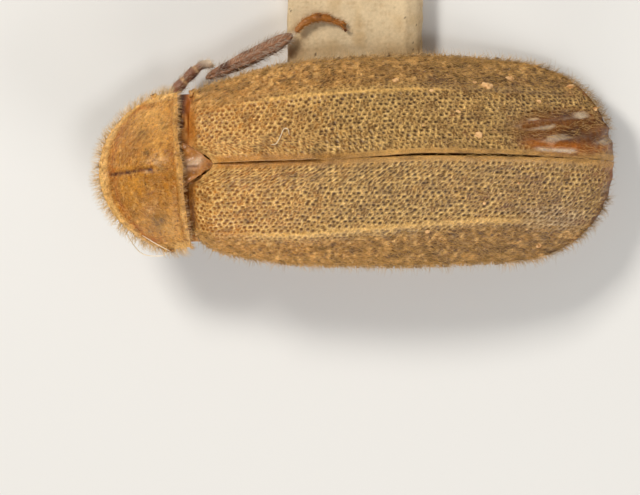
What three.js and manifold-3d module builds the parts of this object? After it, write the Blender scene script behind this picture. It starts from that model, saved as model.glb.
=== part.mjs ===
import * as THREE from "three";
import { mergeVertices } from "three/addons/utils/BufferGeometryUtils.js";
import Module from "manifold-3d";

// A dried male firefly, 6.45 mm long, glued by its breast to the end of a card strip.
// Millimetres. +X runs from the head to the wing tips and +Z is up. The animal's left
// side faces -Y. The floor is z = 0, which is also the underside of the card.

const wasm = await Module();
wasm.setup();

// Pose of the insect: it is stuck down with its left side raised
const ROLL = THREE.MathUtils.degToRad(16);
const ROLL_HEIGHT = 1.2;
const GAP = 0.012;
const SLIVER = 0.003;

// Card strip, with its cut front edge and crushed right corner
const CARD_LEFT = -0.84;
const CARD_RIGHT = 0.65;
const CARD_CORNER = 0.86;
const CARD_THICKNESS = 0.47;
const CARD_FRONT = -0.72;
const CARD_BACK = 3.1;

// Wing cases
const CASE_BASE = -2.03;
const CASE_SIDE_END = 1.8;
const CASE_ROUND = 1.43;
const CASE_HALF_WIDTH = 1.28;
const CASE_SLOPE = 0.42;
const CASE_THICKNESS = 0.06;
const CASE_RIM = 0.02;
const RIB_PLACE = 0.66;
const RIB_HEIGHT = 0.03;
const SEAM_OPENS = -0.41;

// Neck shield, the hood over the head
const SHIELD_REAR = -2.13;
const SHIELD_MIDDLE = -0.15;
const SHIELD_HALF_WIDTH = 0.985;
const SHIELD_LENGTH = 1.08;
const SHIELD_SIDE = 0.22;
const SHIELD_THICKNESS = 0.07;
const SHIELD_YAW = 0.09;
const SHIELD_TWIST = 0.2;

// Flight wings, folded under the cases
const WING_THICKNESS = 0.045;
const PLEATS = 4;
const PLEAT_HEIGHT = 0.04;
const VEIN_HEIGHT = 0.02;

// Chest
const CHEST_HALF_WIDTH = 0.82;
const CHEST_MIDDLE = 1.27;
const CHEST_JOINT = -1.34;
const CHEST_REAR = -0.24;

const COLORS = {
  shield: 0xc98a3c,
  wingCase: 0xb58a4c,
  chest: 0x9c5a26,
  chestDark: 0x5a2a14,
  leg: 0xc08a3e,
  legBrown: 0x7a5038,
  feeler: 0x6e4a3c,
  eye: 0x0c0c10,
  wing: 0x6b5038,
  pale: 0xd8b070,
  card: 0xd9cbb0,
  glue: 0x9a5312,
};

/** Smooth rise from 0 at a to 1 at b. */
function rise(x, a, b) {
  return THREE.MathUtils.smoothstep(x, a, b);
}

/** A smooth bump of height 1 and the given half-width about a middle. */
function bump(x, middle, reach) {
  return Math.exp(-(((x - middle) / reach) ** 2));
}

/** Reads a smooth curve through the stations [x, value], in the order of x. */
function through(stations) {
  const slopes = stations.map((station, i) => {
    const before = stations[Math.max(i - 1, 0)];
    const after = stations[Math.min(i + 1, stations.length - 1)];
    return (after[1] - before[1]) / (after[0] - before[0]);
  });
  return (x) => {
    const last = stations.length - 2;
    let i = stations.findIndex((station) => station[0] > x) - 1;
    i = i < -1 ? last : Math.min(Math.max(i, 0), last);
    const [x0, y0] = stations[i];
    const [x1, y1] = stations[i + 1];
    const span = x1 - x0;
    const t = THREE.MathUtils.clamp((x - x0) / span, 0, 1);
    const h = t * t * (3 - 2 * t);
    const bend = span * t * (1 - t) * ((1 - t) * slopes[i] - t * slopes[i + 1]);
    return y0 + (y1 - y0) * h + bend;
  };
}

/** A point from its length, its offset from the median plane and its height above the floor. */
function at(x, side, height) {
  return new THREE.Vector3(x, side, (height + side * Math.sin(ROLL)) / Math.cos(ROLL));
}

/** Makes a closed geometry, turned outward, from points and triangles. */
function closed(points, triangles) {
  let volume = 0;
  for (const [a, b, c] of triangles) {
    volume += points[a].dot(points[b].clone().cross(points[c]));
  }
  const index = triangles.flatMap(([a, b, c]) => (volume < 0 ? [a, c, b] : [a, b, c]));
  const geometry = new THREE.BufferGeometry().setFromPoints(points);
  geometry.setIndex(index);
  return geometry;
}

/** A thin sheet: face(u, v, side) gives its upper points at side 0 and its lower at side 1. */
function sheet(columns, rows, face) {
  const points = [];
  const triangles = [];
  const wide = rows + 1;
  const count = (columns + 1) * wide;
  for (const side of [0, 1]) {
    for (let i = 0; i <= columns; i += 1) {
      for (let j = 0; j <= rows; j += 1) {
        points.push(face(i / columns, j / rows, side));
      }
    }
  }
  const quad = (a, b, c, d) => triangles.push([a, b, c], [a, c, d]);
  for (let i = 0; i < columns; i += 1) {
    for (let j = 0; j < rows; j += 1) {
      const a = i * wide + j;
      const b = a + wide;
      triangles.push([a, b, b + 1], [a, b + 1, a + 1]);
      triangles.push([count + a, count + b + 1, count + b], [count + a, count + a + 1, count + b + 1]);
    }
  }
  for (let i = 0; i < columns; i += 1) {
    const a = i * wide;
    const b = a + rows;
    quad(a, count + a, count + a + wide, a + wide);
    quad(b, b + wide, count + b + wide, count + b);
  }
  for (let j = 0; j < rows; j += 1) {
    const a = j;
    const b = columns * wide + j;
    quad(a, a + 1, count + a + 1, count + a);
    quad(b, count + b, count + b + 1, b + 1);
  }
  return closed(points, triangles);
}

/** A closed body through rings of points, with its end rings filled by fans. */
function loft(rings) {
  const sides = rings[0].length;
  const points = rings.flat();
  const triangles = [];
  for (let i = 0; i < rings.length - 1; i += 1) {
    for (let j = 0; j < sides; j += 1) {
      const a = i * sides + j;
      const b = i * sides + ((j + 1) % sides);
      triangles.push([a, b, b + sides], [a, b + sides, a + sides]);
    }
  }
  for (const [ring, turned] of [[0, true], [rings.length - 1, false]]) {
    const middle = new THREE.Vector3();
    rings[ring].forEach((point) => middle.addScaledVector(point, 1 / sides));
    points.push(middle);
    const hub = points.length - 1;
    for (let j = 0; j < sides; j += 1) {
      const a = ring * sides + j;
      const b = ring * sides + ((j + 1) % sides);
      triangles.push(turned ? [hub, b, a] : [hub, a, b]);
    }
  }
  return closed(points, triangles);
}

/** A round-ended limb along a path; each station of sizes is [share of length, radius]. */
function limb(path, sizes, { sides = 10, steps = 14, flat = 1, grow = 0 } = {}) {
  const curve = path.length > 2 ? new THREE.CatmullRomCurve3(path) : new THREE.LineCurve3(...path);
  const radius = typeof sizes === "function" ? sizes : through(sizes);
  const length = curve.getLength();
  const frames = new THREE.CatmullRomCurve3(curve.getSpacedPoints(8)).computeFrenetFrames(steps, false);
  const startCap = radius(0) * 0.8;
  const endCap = radius(1) * 0.8;
  const rings = [];
  for (let i = 0; i <= steps; i += 1) {
    const share = i / steps;
    const along = share * length;
    let size = radius(share) + grow;
    if (along < startCap) {
      size *= Math.sqrt(1 - (1 - along / startCap) ** 2 * 0.85);
    }
    if (length - along < endCap) {
      size *= Math.sqrt(1 - (1 - (length - along) / endCap) ** 2 * 0.85);
    }
    const middle = curve.getPointAt(share);
    const ring = [];
    for (let j = 0; j < sides; j += 1) {
      const angle = (2 * Math.PI * j) / sides;
      ring.push(middle.clone()
        .addScaledVector(frames.normals[i], size * Math.cos(angle))
        .addScaledVector(frames.binormals[i], size * flat * Math.sin(angle)));
    }
    rings.push(ring);
  }
  return loft(rings);
}

/** An egg-shaped body. */
function egg(middle, radii, { across = 20, down = 12, grow = 0 } = {}) {
  const geometry = new THREE.SphereGeometry(1, across, down);
  geometry.scale(radii.x + grow, radii.y + grow, radii.z + grow);
  geometry.translate(middle.x, middle.y, middle.z);
  return geometry;
}

/** Turns a closed geometry into a solid for joining and cutting. */
function solid(geometry) {
  const bare = geometry.clone();
  bare.deleteAttribute("normal");
  bare.deleteAttribute("uv");
  const merged = mergeVertices(bare, 1e-5);
  return new wasm.Manifold(new wasm.Mesh({
    numProp: 3,
    vertProperties: new Float32Array(merged.attributes.position.array),
    triVerts: new Uint32Array(merged.index.array),
  }));
}

/** The largest closed surface of a solid, without slivers, as a geometry. */
function surface(manifold) {
  const pieces = manifold.simplify(SLIVER).decompose();
  pieces.sort((a, b) => b.volume() - a.volume());
  const mesh = pieces[0].getMesh();
  const geometry = new THREE.BufferGeometry();
  geometry.setAttribute("position", new THREE.BufferAttribute(new Float32Array(mesh.vertProperties), 3));
  geometry.setIndex(new THREE.BufferAttribute(new Uint32Array(mesh.triVerts), 1));
  return geometry;
}

/** One body from several that overlap, cut clear of its neighbours. */
function fuse(parts, neighbours = []) {
  let whole = solid(parts[0]);
  for (const part of parts.slice(1)) {
    whole = whole.add(solid(part));
  }
  for (const neighbour of neighbours) {
    whole = whole.subtract(solid(neighbour));
  }
  return surface(whole);
}

const group = new THREE.Group();
const insect = new THREE.Group();
insect.rotation.x = -ROLL;
insect.position.y = -ROLL_HEIGHT * Math.sin(ROLL);
group.add(insect);
group.updateMatrixWorld(true);

/** Adds a named node with its own material. */
function node(name, geometry, color, roughness, parent = insect) {
  const material = new THREE.MeshStandardMaterial({ color, roughness, metalness: 0 });
  const mesh = new THREE.Mesh(geometry, material);
  mesh.name = name;
  parent.add(mesh);
  return mesh;
}

// Wing cases

const caseSeam = through([
  [-2.03, 1.92], [-1.75, 2.07], [-1.4, 2.12], [-0.9, 2.13], [-0.3, 2.11], [0.65, 1.985],
  [1.61, 1.79], [2.1, 1.575], [2.575, 1.32], [3.05, 0.965], [3.23, 0.66],
]);
const leftWidth = through([
  [-2.03, 0.86], [-1.94, 1.0], [-1.75, 1.12], [-1.5, 1.185], [-1.19, 1.235], [-0.7, 1.285],
  [0.56, 1.315], [1.19, 1.305], [1.8, 1.28], [3.3, 1.28],
]);
const rightWidth = through([
  [-2.03, 0.82], [-1.9, 0.9], [-1.75, 0.95], [-1.5, 1.03], [-1.19, 1.125], [-0.7, 1.22],
  [0.0, 1.275], [0.9, 1.315], [1.8, 1.28], [3.3, 1.28],
]);

/** Width of a wing case at a length; hand is -1 for the left and 1 for the right. */
function caseWidth(hand, x) {
  return hand < 0 ? leftWidth(x) : rightWidth(x);
}

const leftFall = through([
  [-2.03, 0.5], [-1.67, 0.7], [-1.0, 0.81], [-0.3, 0.78], [0.7, 0.76], [1.45, 0.75], [1.8, 0.79],
  [2.2, 0.854], [2.575, 0.87], [2.9, 1.04], [3.075, 1.5], [3.23, 1.8],
]);
const rightFall = through([
  [-2.03, 0.5], [-1.67, 0.7], [-1.0, 0.81], [-0.3, 0.8], [0.5, 0.82], [1.1, 0.9], [1.7, 0.93],
  [2.31, 0.91], [2.65, 0.83], [3.0, 0.4], [3.23, 0.3],
]);

/** Height of a wing case at a length and a distance from the seam. */
function caseHeight(hand, x, out) {
  const wide = caseWidth(hand, x);
  const share = out / wide;
  const fall = hand < 0 ? leftFall(x) : rightFall(x);
  const drop = CASE_SLOPE * out + (fall - CASE_SLOPE * wide) * share ** 2;
  const rib = RIB_HEIGHT * bump(share, RIB_PLACE, 0.05) * rise(x, -1.9, -1.4) * rise(-x, -2.7, -2.1);
  const shoulder = 0.05 * bump(x, -1.75, 0.25) * bump(share, 0.62, 0.22);
  return caseSeam(x) - drop + rib + shoulder + 0.03 * bump(share, 1, 0.12);
}

/** Distance from the seam to the rim of a wing case, round its blunt end. */
function caseRim(hand, x) {
  const past = THREE.MathUtils.clamp((x - CASE_SIDE_END) / CASE_ROUND, 0, 1);
  return caseWidth(hand, x) * Math.sqrt(1 - past ** 2.22);
}

/** One wing case; hand is -1 for the left and 1 for the right. */
function wingCase(hand) {
  return sheet(29, 11, (u, v, side) => {
    const share = Math.sin((v * Math.PI) / 2);
    const end = CASE_SIDE_END + CASE_ROUND * (1 - share ** 2) ** 0.45;
    const base = CASE_BASE + 0.25 * (1 - rise(share, 0, 0.3)) + 0.04 * share ** 4;
    const x = THREE.MathUtils.lerp(base, end, u);
    const seam = GAP + 0.03 * rise(x, SEAM_OPENS, 3.2);
    const out = THREE.MathUtils.lerp(seam, caseWidth(hand, x), share);
    const bead = (hand > 0 ? 0.16 : 0.07) * rise(-x, -SEAM_OPENS - 0.04, -SEAM_OPENS + 0.06);
    const hump = bead * rise(x, -2.0, -1.55) * bump(out, 0.1, 0.18);
    const edge = THREE.MathUtils.clamp(Math.max(share ** 8, u ** 24), 0, 1);
    const slope = Math.hypot(1, CASE_SLOPE + 0.6 * share);
    const depth = side * (CASE_THICKNESS + CASE_RIM * edge) * slope;
    return new THREE.Vector3(x, hand * out, caseHeight(hand, x, out) + hump - depth);
  });
}

node("elytron_left", wingCase(-1), COLORS.wingCase, 0.6);
node("elytron_right", wingCase(1), COLORS.wingCase, 0.6);

// Neck shield, modelled about its own middle and then turned a little to the left

const shieldRidge = through([
  [-1.1, 1.34], [-1.02, 1.4], [-0.87, 1.54], [-0.67, 1.76], [-0.49, 1.89], [-0.27, 1.955],
  [-0.05, 1.985], [0.08, 1.96],
]);
const leftShieldFall = through([[-1.1, 1.0], [-0.5, 1.07], [-0.3, 1.06], [-0.12, 0.95], [0.08, 0.78]]);
const rightShieldFall = through([[-1.1, 0.98], [-0.5, 1.03], [-0.28, 0.97], [-0.1, 0.76], [0.08, 0.64]]);

/** Upper height of the neck shield at a length and an offset from its middle. */
function shieldHeight(a, side) {
  const out = Math.abs(side) / SHIELD_HALF_WIDTH;
  const twist = -SHIELD_TWIST * side * rise(-a, 0.4, 0.9);
  const groove = -0.02 * bump(side, 0, 0.03) * rise(-a, 0.25, 0.4) * rise(a, -0.9, -0.8);
  const fall = side < 0 ? leftShieldFall(a) : rightShieldFall(a);
  return shieldRidge(a) - fall * out ** 1.85 + twist + groove;
}

const shield = sheet(11, 20, (u, v, side) => {
  const out = Math.sin((v * 2 - 1) * (Math.PI / 2)) * 0.995;
  const b = out * SHIELD_HALF_WIDTH;
  const front = -SHIELD_SIDE - (SHIELD_LENGTH - SHIELD_SIDE) * (1 - out ** 2) ** 0.7;
  const rear = 0.03 * rise(Math.abs(out), 0.35, 0.95) + 0.02 * bump(b, 0, 0.15);
  const a = THREE.MathUtils.lerp(rear, front, u);
  const rim = Math.max(rise(u, 0.86, 1), rise(Math.abs(out), 0.9, 1));
  const bead = 0.045 * bump(u, 0.06, 0.07);
  const steep = Math.hypot(1, 2.1 * Math.abs(out), 0.9 * u);
  const depth = side * SHIELD_THICKNESS * steep * (1 - 0.25 * rim);
  return new THREE.Vector3(a + 0.5, b, shieldHeight(a, b) + 0.03 * rim + bead - depth);
});
const pronotum = node("pronotum", shield, COLORS.shield, 0.65);
pronotum.position.set(SHIELD_REAR - 0.5, SHIELD_MIDDLE, 0);
pronotum.rotation.z = SHIELD_YAW;

// Scutellum, the small shield between the bases of the wing cases

const scutellum = sheet(6, 8, (u, v, side) => {
  const half = 0.24 * (1 - 0.55 * u ** 2) * (u > 0.99 ? 0.75 : 1);
  const x = -2.17 + 0.3 * u - 0.04 * Math.abs(v - 0.5) * u;
  const b = (v - 0.5) * 2 * half;
  const top = 1.845 + 0.09 * rise(x, -2.17, -2.0) - 0.35 * b ** 2 - 0.03 * u;
  return new THREE.Vector3(x, b, top - side * 0.055);
});
node("scutellum", scutellum, COLORS.pale, 0.4);

// Chest: front, middle and hind rings of the thorax

/** A ring of the chest: a soft, slightly pinched oval. */
function chestRing(x, wide, top, bottom, middle, power = 1.0) {
  const ring = [];
  for (let j = 0; j < 28; j += 1) {
    const angle = (2 * Math.PI * j) / 28;
    const c = Math.cos(angle);
    const s = Math.sin(angle);
    const side = Math.sign(c) * Math.abs(c) ** power;
    const rimmed = s > 0 ? top : bottom;
    ring.push(new THREE.Vector3(x, wide * side, middle + rimmed * Math.sign(s) * Math.abs(s) ** power));
  }
  return ring;
}

/** A chest segment through stations [x, half-width, top, bottom, middle]. */
function chest(stations, grow = 0) {
  return loft(stations.map(([x, wide, top, bottom, middle], i) => {
    const shift = grow * (i === 0 ? -1 : i === stations.length - 1 ? 1 : 0);
    return chestRing(x + shift, wide + grow, top + grow, bottom + grow, middle, 0.9);
  }));
}

const HIND_CHEST = [
  [CHEST_JOINT, 0.76, 0.5, 0.56, 1.27], [-1.15, 0.82, 0.56, 0.63, 1.27],
  [-0.8, 0.84, 0.58, 0.66, 1.27], [-0.45, 0.8, 0.56, 0.65, 1.26], [CHEST_REAR, 0.7, 0.48, 0.6, 1.24],
];
const MIDDLE_CHEST = [
  [-2.02, 0.5, 0.28, 0.34, 1.34], [-1.85, 0.64, 0.34, 0.44, 1.32],
  [-1.6, 0.74, 0.44, 0.52, 1.3], [CHEST_JOINT - GAP, 0.72, 0.46, 0.54, 1.28],
];
const FRONT_CHEST = [
  [-2.42, 0.27, 0.22, 0.23, 1.35], [-2.3, 0.46, 0.3, 0.36, 1.3],
  [-2.12, 0.56, 0.36, 0.42, 1.3], [-2.02 - GAP, 0.48, 0.3, 0.36, 1.34],
];
const hindChest = chest(HIND_CHEST);
const middleChest = chest(MIDDLE_CHEST);
const frontChest = chest(FRONT_CHEST);
node("metathorax", hindChest, COLORS.chest, 0.35);
node("mesothorax", middleChest, COLORS.chest, 0.45);
node("prosternum", frontChest, COLORS.chest, 0.55);

// Head with its two large eyes, seated in it

const EYE = new THREE.Vector3(0.34, 0.29, 0.33);
const EYE_OUT = 0.34;
const HEAD = new THREE.Vector3(-2.65, -0.09, 0.95);
const eyes = [];
for (const [name, hand] of [["eye_left", -1], ["eye_right", 1]]) {
  const middle = HEAD.clone().add(new THREE.Vector3(-0.025, hand * EYE_OUT, -0.02));
  node(name, egg(middle, EYE, { across: 20, down: 12 }), COLORS.eye, 0.12);
  eyes.push(egg(middle, EYE, { across: 20, down: 12, grow: GAP }));
}
const headParts = [
  egg(HEAD, new THREE.Vector3(0.36, 0.36, 0.33), { across: 18, down: 12 }),
  limb([new THREE.Vector3(-2.5, -0.05, 1.05), new THREE.Vector3(-2.34, -0.02, 1.25)], [[0, 0.24], [1, 0.2]]),
  egg(HEAD.clone().add(new THREE.Vector3(0.08, 0, -0.24)), new THREE.Vector3(0.17, 0.2, 0.16), {
    across: 12, down: 8,
  }),
];
node("head", fuse(headParts, [...eyes, chest(FRONT_CHEST, GAP)]), COLORS.chestDark, 0.5);

// Mouthparts and palps

const jaws = [-1, 1].map((hand) => limb([
  new THREE.Vector3(-2.5, hand * 0.13, 0.6),
  new THREE.Vector3(-2.63, hand * 0.1, 0.5),
  new THREE.Vector3(-2.6, hand * 0.02, 0.44),
], [[0, 0.06], [0.6, 0.045], [1, 0.015]], { steps: 8, sides: 6 }));
const labrum = egg(new THREE.Vector3(-2.54, 0, 0.55), new THREE.Vector3(0.1, 0.13, 0.06), {
  across: 12, down: 8,
});
const mouth = [labrum, ...jaws];
node("mouthparts", fuse(mouth, headParts), COLORS.legBrown, 0.5);
for (const [name, hand] of [["palp_left", -1], ["palp_right", 1]]) {
  const palp = limb([
    at(-2.44, hand * 0.15, 0.6), at(-2.42, hand * 0.19, 0.5), at(-2.32, hand * 0.2, 0.43),
    at(-2.24, hand * 0.18, 0.42),
  ], [[0, 0.035], [0.3, 0.045], [0.34, 0.035], [0.62, 0.05], [0.66, 0.04], [0.88, 0.055], [1, 0.02]],
  { steps: 14, sides: 6 });
  node(name, fuse([palp], headParts), COLORS.legBrown, 0.5);
}

// Feelers: a base of two joints, then a row of joints that narrows to the tip

/** Radius along a row of joints, each a little wider at its far end. */
function jointed(joints, taper, waist = 0.24) {
  return (share) => {
    const within = (share * joints) % 1;
    return taper(share) * (1 - waist * Math.abs(Math.cos(Math.PI * within)) ** 6 + 0.05 * within);
  };
}

const FEELER_RADIUS = 0.072;
const leftBase = [at(-2.45, -0.26, 0.67), at(-2.36, -0.36, 0.6), at(-2.3, -0.44, 0.578)];
const leftRow = [
  at(-2.275, -0.47, 0.575), at(-1.9, -0.74, 0.588), at(-1.5, -0.9, 0.58), at(-1.1, -0.93, 0.565),
  at(-0.7, -0.9, 0.56),
];
const rightBase = [at(-2.52, 0.16, 0.52), at(-2.62, 0.24, 0.47), at(-2.71, 0.36, 0.455)];
const rightRow = [
  at(-2.7, 0.42, 0.455), at(-2.22, 0.95, 0.36), at(-1.88, 1.25, 0.29), at(-1.76, 1.22, 0.27),
];
const baseSizes = [[0, 0.05], [0.45, 0.08], [0.55, 0.055], [0.8, 0.075], [1, 0.06]];
const baseCutters = [...headParts, ...eyes, ...mouth];
node("antenna_left_base", fuse([limb(leftBase, baseSizes)], baseCutters), COLORS.feeler, 0.55);
node("antenna_right_base", fuse([limb(rightBase, baseSizes)], baseCutters), COLORS.feeler, 0.55);
const leftTaper = through([[0, FEELER_RADIUS], [0.3, 0.08], [0.6, 0.06], [0.85, 0.045], [1, 0.03]]);
const rightTaper = through([[0, FEELER_RADIUS], [0.7, 0.075], [1, 0.05]]);
node("antenna_left", limb(leftRow, jointed(9, leftTaper), { steps: 34, sides: 8 }), COLORS.feeler, 0.55);
node("antenna_right", limb(rightRow, jointed(6, rightTaper), { steps: 24, sides: 8 }), COLORS.feeler, 0.55);

// Legs, each from its hip outward. Where the dried animal has lost a shin or foot the leg ends
// at the joint, as it does on the specimen.

const chestCutters = [chest(FRONT_CHEST, GAP), chest(MIDDLE_CHEST, GAP), chest(HIND_CHEST, GAP)];

/** A hip, sunk into the chest and cut to its surface. */
function hip(name, path, sizes, options = {}) {
  const shape = limb(path, sizes, { sides: 14, steps: 12, ...options });
  return node(name, fuse([shape], chestCutters), COLORS.leg, 0.4);
}

const frontHip = (hand) => [
  at(-2.05, hand * 0.38, 1.2), at(-1.97, hand * 0.5, 0.98), at(-1.85, hand * 0.56, 0.8),
];
const frontHipSizes = [[0, 0.13], [0.5, 0.135], [1, 0.075]];
hip("hip_front_left", frontHip(-1), frontHipSizes);
hip("hip_front_right", [
  new THREE.Vector3(-2.05, 0.38, 1.02), new THREE.Vector3(-1.98, 0.46, 0.86),
  new THREE.Vector3(-1.88, 0.5, 0.74),
], frontHipSizes);

/** A thigh with an open knee socket at its far end. */
function openThigh(path, sizes, options) {
  const shape = limb(path, sizes, options);
  const end = path[path.length - 1];
  const before = path[path.length - 2];
  const along = end.clone().sub(before).normalize();
  const reach = sizes[sizes.length - 1][1];
  const bore = limb([
    end.clone().addScaledVector(along, -reach * 0.8), end.clone().addScaledVector(along, reach * 2),
  ], [[0, reach * 0.45], [0.4, reach * 0.62], [1, reach * 0.7]], { steps: 6 });
  return fuse([shape], [bore]);
}

node("thigh_front_left", openThigh(
  [at(-1.76, -0.6, 0.8), at(-1.45, -0.68, 0.815), at(-1.1, -0.72, 0.735)],
  [[0, 0.05], [0.18, 0.09], [0.5, 0.135], [0.8, 0.11], [1, 0.085]],
  { sides: 12, steps: 12, flat: 0.75 },
), COLORS.leg, 0.35);
node("thigh_front_right", limb(
  [
    new THREE.Vector3(-1.87, 0.58, 0.68), new THREE.Vector3(-1.92, 0.72, 0.7),
    new THREE.Vector3(-1.9, 0.86, 0.76),
  ],
  [[0, 0.05], [0.4, 0.1], [1, 0.065]], { sides: 12, steps: 12 },
), COLORS.leg, 0.35);
node("shin_front_right", openThigh(
  [at(-1.84, 0.84, 0.44), at(-1.6, 0.66, 0.31), at(-1.28, 0.42, 0.085)],
  [[0, 0.045], [0.15, 0.065], [0.7, 0.072], [1, 0.07]], { sides: 10, steps: 12 },
), COLORS.legBrown, 0.5);

const middleHip = (hand) => [
  new THREE.Vector3(-1.12, hand * 0.2, 0.72), new THREE.Vector3(-1.05, hand * 0.33, 0.66),
  new THREE.Vector3(-0.95, hand * 0.44, 0.62),
];
const middleHipSizes = [[0, 0.1], [0.5, 0.12], [1, 0.08]];
hip("hip_middle_left", middleHip(-1), middleHipSizes);
hip("hip_middle_right", middleHip(1), middleHipSizes);
node("thigh_middle_left", limb(
  [at(-0.86, -0.56, 0.66), at(-0.55, -0.6, 0.65), at(-0.24, -0.6, 0.645)],
  [[0, 0.045], [0.3, 0.065], [0.75, 0.075], [1, 0.065]], { sides: 10, steps: 10 },
), COLORS.leg, 0.3);
node("thigh_middle_right", limb(
  [
    new THREE.Vector3(-1.06, 0.53, 0.6), new THREE.Vector3(-1.4, 0.83, 0.71),
    new THREE.Vector3(-1.8, 0.95, 0.87),
  ],
  [[0, 0.05], [0.25, 0.1], [0.6, 0.12], [1, 0.06]], { sides: 10, steps: 12 },
), COLORS.leg, 0.35);
node("shin_middle_right", limb(
  [at(-1.865, 1.055, 0.6), at(-1.344, 1.29, 0.64), at(-0.79, 1.58, 0.61)],
  [[0, 0.03], [0.15, 0.06], [0.45, 0.088], [0.8, 0.085], [1, 0.05]], { sides: 12, steps: 14 },
), COLORS.legBrown, 0.5);

// The one foot that is left: five joints and a pair of claws

const footPath = [
  at(-0.745, 1.62, 0.6), at(-0.646, 1.73, 0.575), at(-0.47, 1.805, 0.56), at(-0.31, 1.78, 0.55),
  at(-0.17, 1.72, 0.545),
];
const footTaper = through([[0, 0.03], [0.5, 0.05], [0.75, 0.045], [0.8, 0.028], [1, 0.032]]);
const claws = [-1, 1].map((hand) => limb([
  at(-0.18, 1.725 + hand * 0.012, 0.55), at(-0.13, 1.7 + hand * 0.035, 0.55),
  at(-0.12, 1.655 + hand * 0.03, 0.53),
], [[0, 0.018], [0.6, 0.014], [1, 0.006]], { sides: 6, steps: 6 }));
const foot = limb(footPath, jointed(5, footTaper), { sides: 8, steps: 20 });
node("foot_middle_right", fuse([foot, ...claws]), COLORS.legBrown, 0.4);

const hindHip = (hand) => egg(
  new THREE.Vector3(-0.03, hand * 0.37, 0.95), new THREE.Vector3(0.2, 0.35, 0.33), { across: 16, down: 10 },
);
for (const [name, hand] of [["hip_hind_left", -1], ["hip_hind_right", 1]]) {
  node(name, fuse([hindHip(hand)], chestCutters), COLORS.chestDark, 0.25);
}
const hipCutters = [-1, 1].map((hand) => egg(
  new THREE.Vector3(-0.03, hand * 0.37, 0.95), new THREE.Vector3(0.2, 0.35, 0.33),
  { across: 16, down: 10, grow: GAP },
));
node("thigh_hind_left", limb(
  [at(0.17, -0.42, 0.68), at(0.45, -0.55, 0.865), at(0.82, -0.66, 1.03)],
  [[0, 0.035], [0.2, 0.085], [0.55, 0.135], [0.85, 0.14], [1, 0.11]], { sides: 14, steps: 14, flat: 0.8 },
), COLORS.leg, 0.4);
node("shin_hind_left", limb(
  [at(0.97, -0.62, 0.94), at(0.75, -0.58, 0.82), at(0.48, -0.5, 0.7)],
  [[0, 0.045], [0.6, 0.05], [1, 0.03]], { sides: 10, steps: 14 },
), COLORS.legBrown, 0.5);
node("thigh_hind_right", limb(
  [
    new THREE.Vector3(0.22, 0.36, 0.82), new THREE.Vector3(0.47, 0.42, 0.88),
    new THREE.Vector3(0.74, 0.5, 0.94),
  ],
  [[0, 0.04], [0.3, 0.09], [0.7, 0.11], [1, 0.07]], { sides: 10, steps: 10 },
), COLORS.leg, 0.4);

// Torn root of the abdomen, all that is left of it behind the hips

const ABDOMEN = [
  [CHEST_REAR + GAP, 0.5, 0.13, 0.2, 1.15], [0.0, 0.46, 0.1, 0.2, 1.12], [0.25, 0.34, 0.08, 0.16, 1.06],
  [0.5, 0.2, 0.05, 0.1, 0.98],
];
const abdomen = fuse([chest(ABDOMEN)], hipCutters);
node("abdomen_root", abdomen, COLORS.chestDark, 0.5);

// Flight wings: pleated sheets with raised veins that close the wing cases from below

const wingFold = through([
  [-0.42, 1.55], [0.08, 1.4], [0.64, 1.22], [0.97, 1.11], [1.71, 0.93], [2.3, 0.6],
  [2.7, 0.32], [3.0, 0.22],
]);

/** One flight wing; hand is -1 for the left and 1 for the right. */
function flightWing(hand) {
  return sheet(17, 16, (u, v, side) => {
    const x = THREE.MathUtils.lerp(-0.2, hand < 0 ? 3.02 - 0.14 * v : 2.86 - 0.1 * v, u);
    const spread = rise(x, -0.3, 0.7);
    const rim = caseRim(hand, x);
    const outer = THREE.MathUtils.lerp(0.8, rim - 0.1, spread);
    const inner = THREE.MathUtils.lerp(0.45, 0.06, spread);
    const out = THREE.MathUtils.lerp(outer, inner, v);
    const roof = caseHeight(hand, x, out) - 0.22;
    const tuck = hand > 0 ? 0.28 * rise(x, 2.35, 2.75) * bump(v, 0.3, 0.35) : 0;
    const level = caseHeight(hand, x, rim) + (hand > 0 ? 0.06 : 0.02);
    const floor = THREE.MathUtils.lerp(level, wingFold(x), v ** 1.4);
    const pleat = PLEAT_HEIGHT * Math.sin(v * Math.PI * PLEATS) * (1 - 0.4 * u);
    const vein = VEIN_HEIGHT * side * Math.max(0, Math.sin(v * Math.PI * PLEATS * 2 + 0.6)) ** 6;
    const height = Math.min(floor + pleat, roof) - tuck;
    return new THREE.Vector3(x, hand * out, height - side * WING_THICKNESS - vein);
  });
}
node("hindwing_left", flightWing(-1), COLORS.wing, 0.35);
node("hindwing_right", flightWing(1), COLORS.wing, 0.35);

// Card strip and glue

const cardOutline = new THREE.Shape();
cardOutline.moveTo(CARD_LEFT, 0);
cardOutline.lineTo(CARD_RIGHT, 0);
cardOutline.lineTo(CARD_RIGHT + 0.1, 0.06);
cardOutline.lineTo(CARD_CORNER, 0.24);
cardOutline.lineTo(CARD_CORNER - 0.07, 0.38);
cardOutline.lineTo(CARD_RIGHT - 0.02, CARD_THICKNESS);
cardOutline.lineTo(CARD_LEFT, CARD_THICKNESS);
cardOutline.lineTo(CARD_LEFT - 0.13, 0.05);
cardOutline.closePath();
const cardShape = new THREE.ExtrudeGeometry(cardOutline, {
  depth: CARD_BACK - CARD_FRONT, steps: 4, bevelEnabled: false,
});
const cardPoints = cardShape.attributes.position;
for (let i = 0; i < cardPoints.count; i += 1) {
  if (cardPoints.getZ(i) < CARD_BACK - CARD_FRONT - 0.2) {
    cardPoints.setX(i, Math.max(cardPoints.getX(i), CARD_LEFT));
  }
}
cardShape.rotateX(Math.PI / 2);
const card = node("card", cardShape, COLORS.card, 0.9, group);
card.position.y = CARD_BACK;

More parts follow.
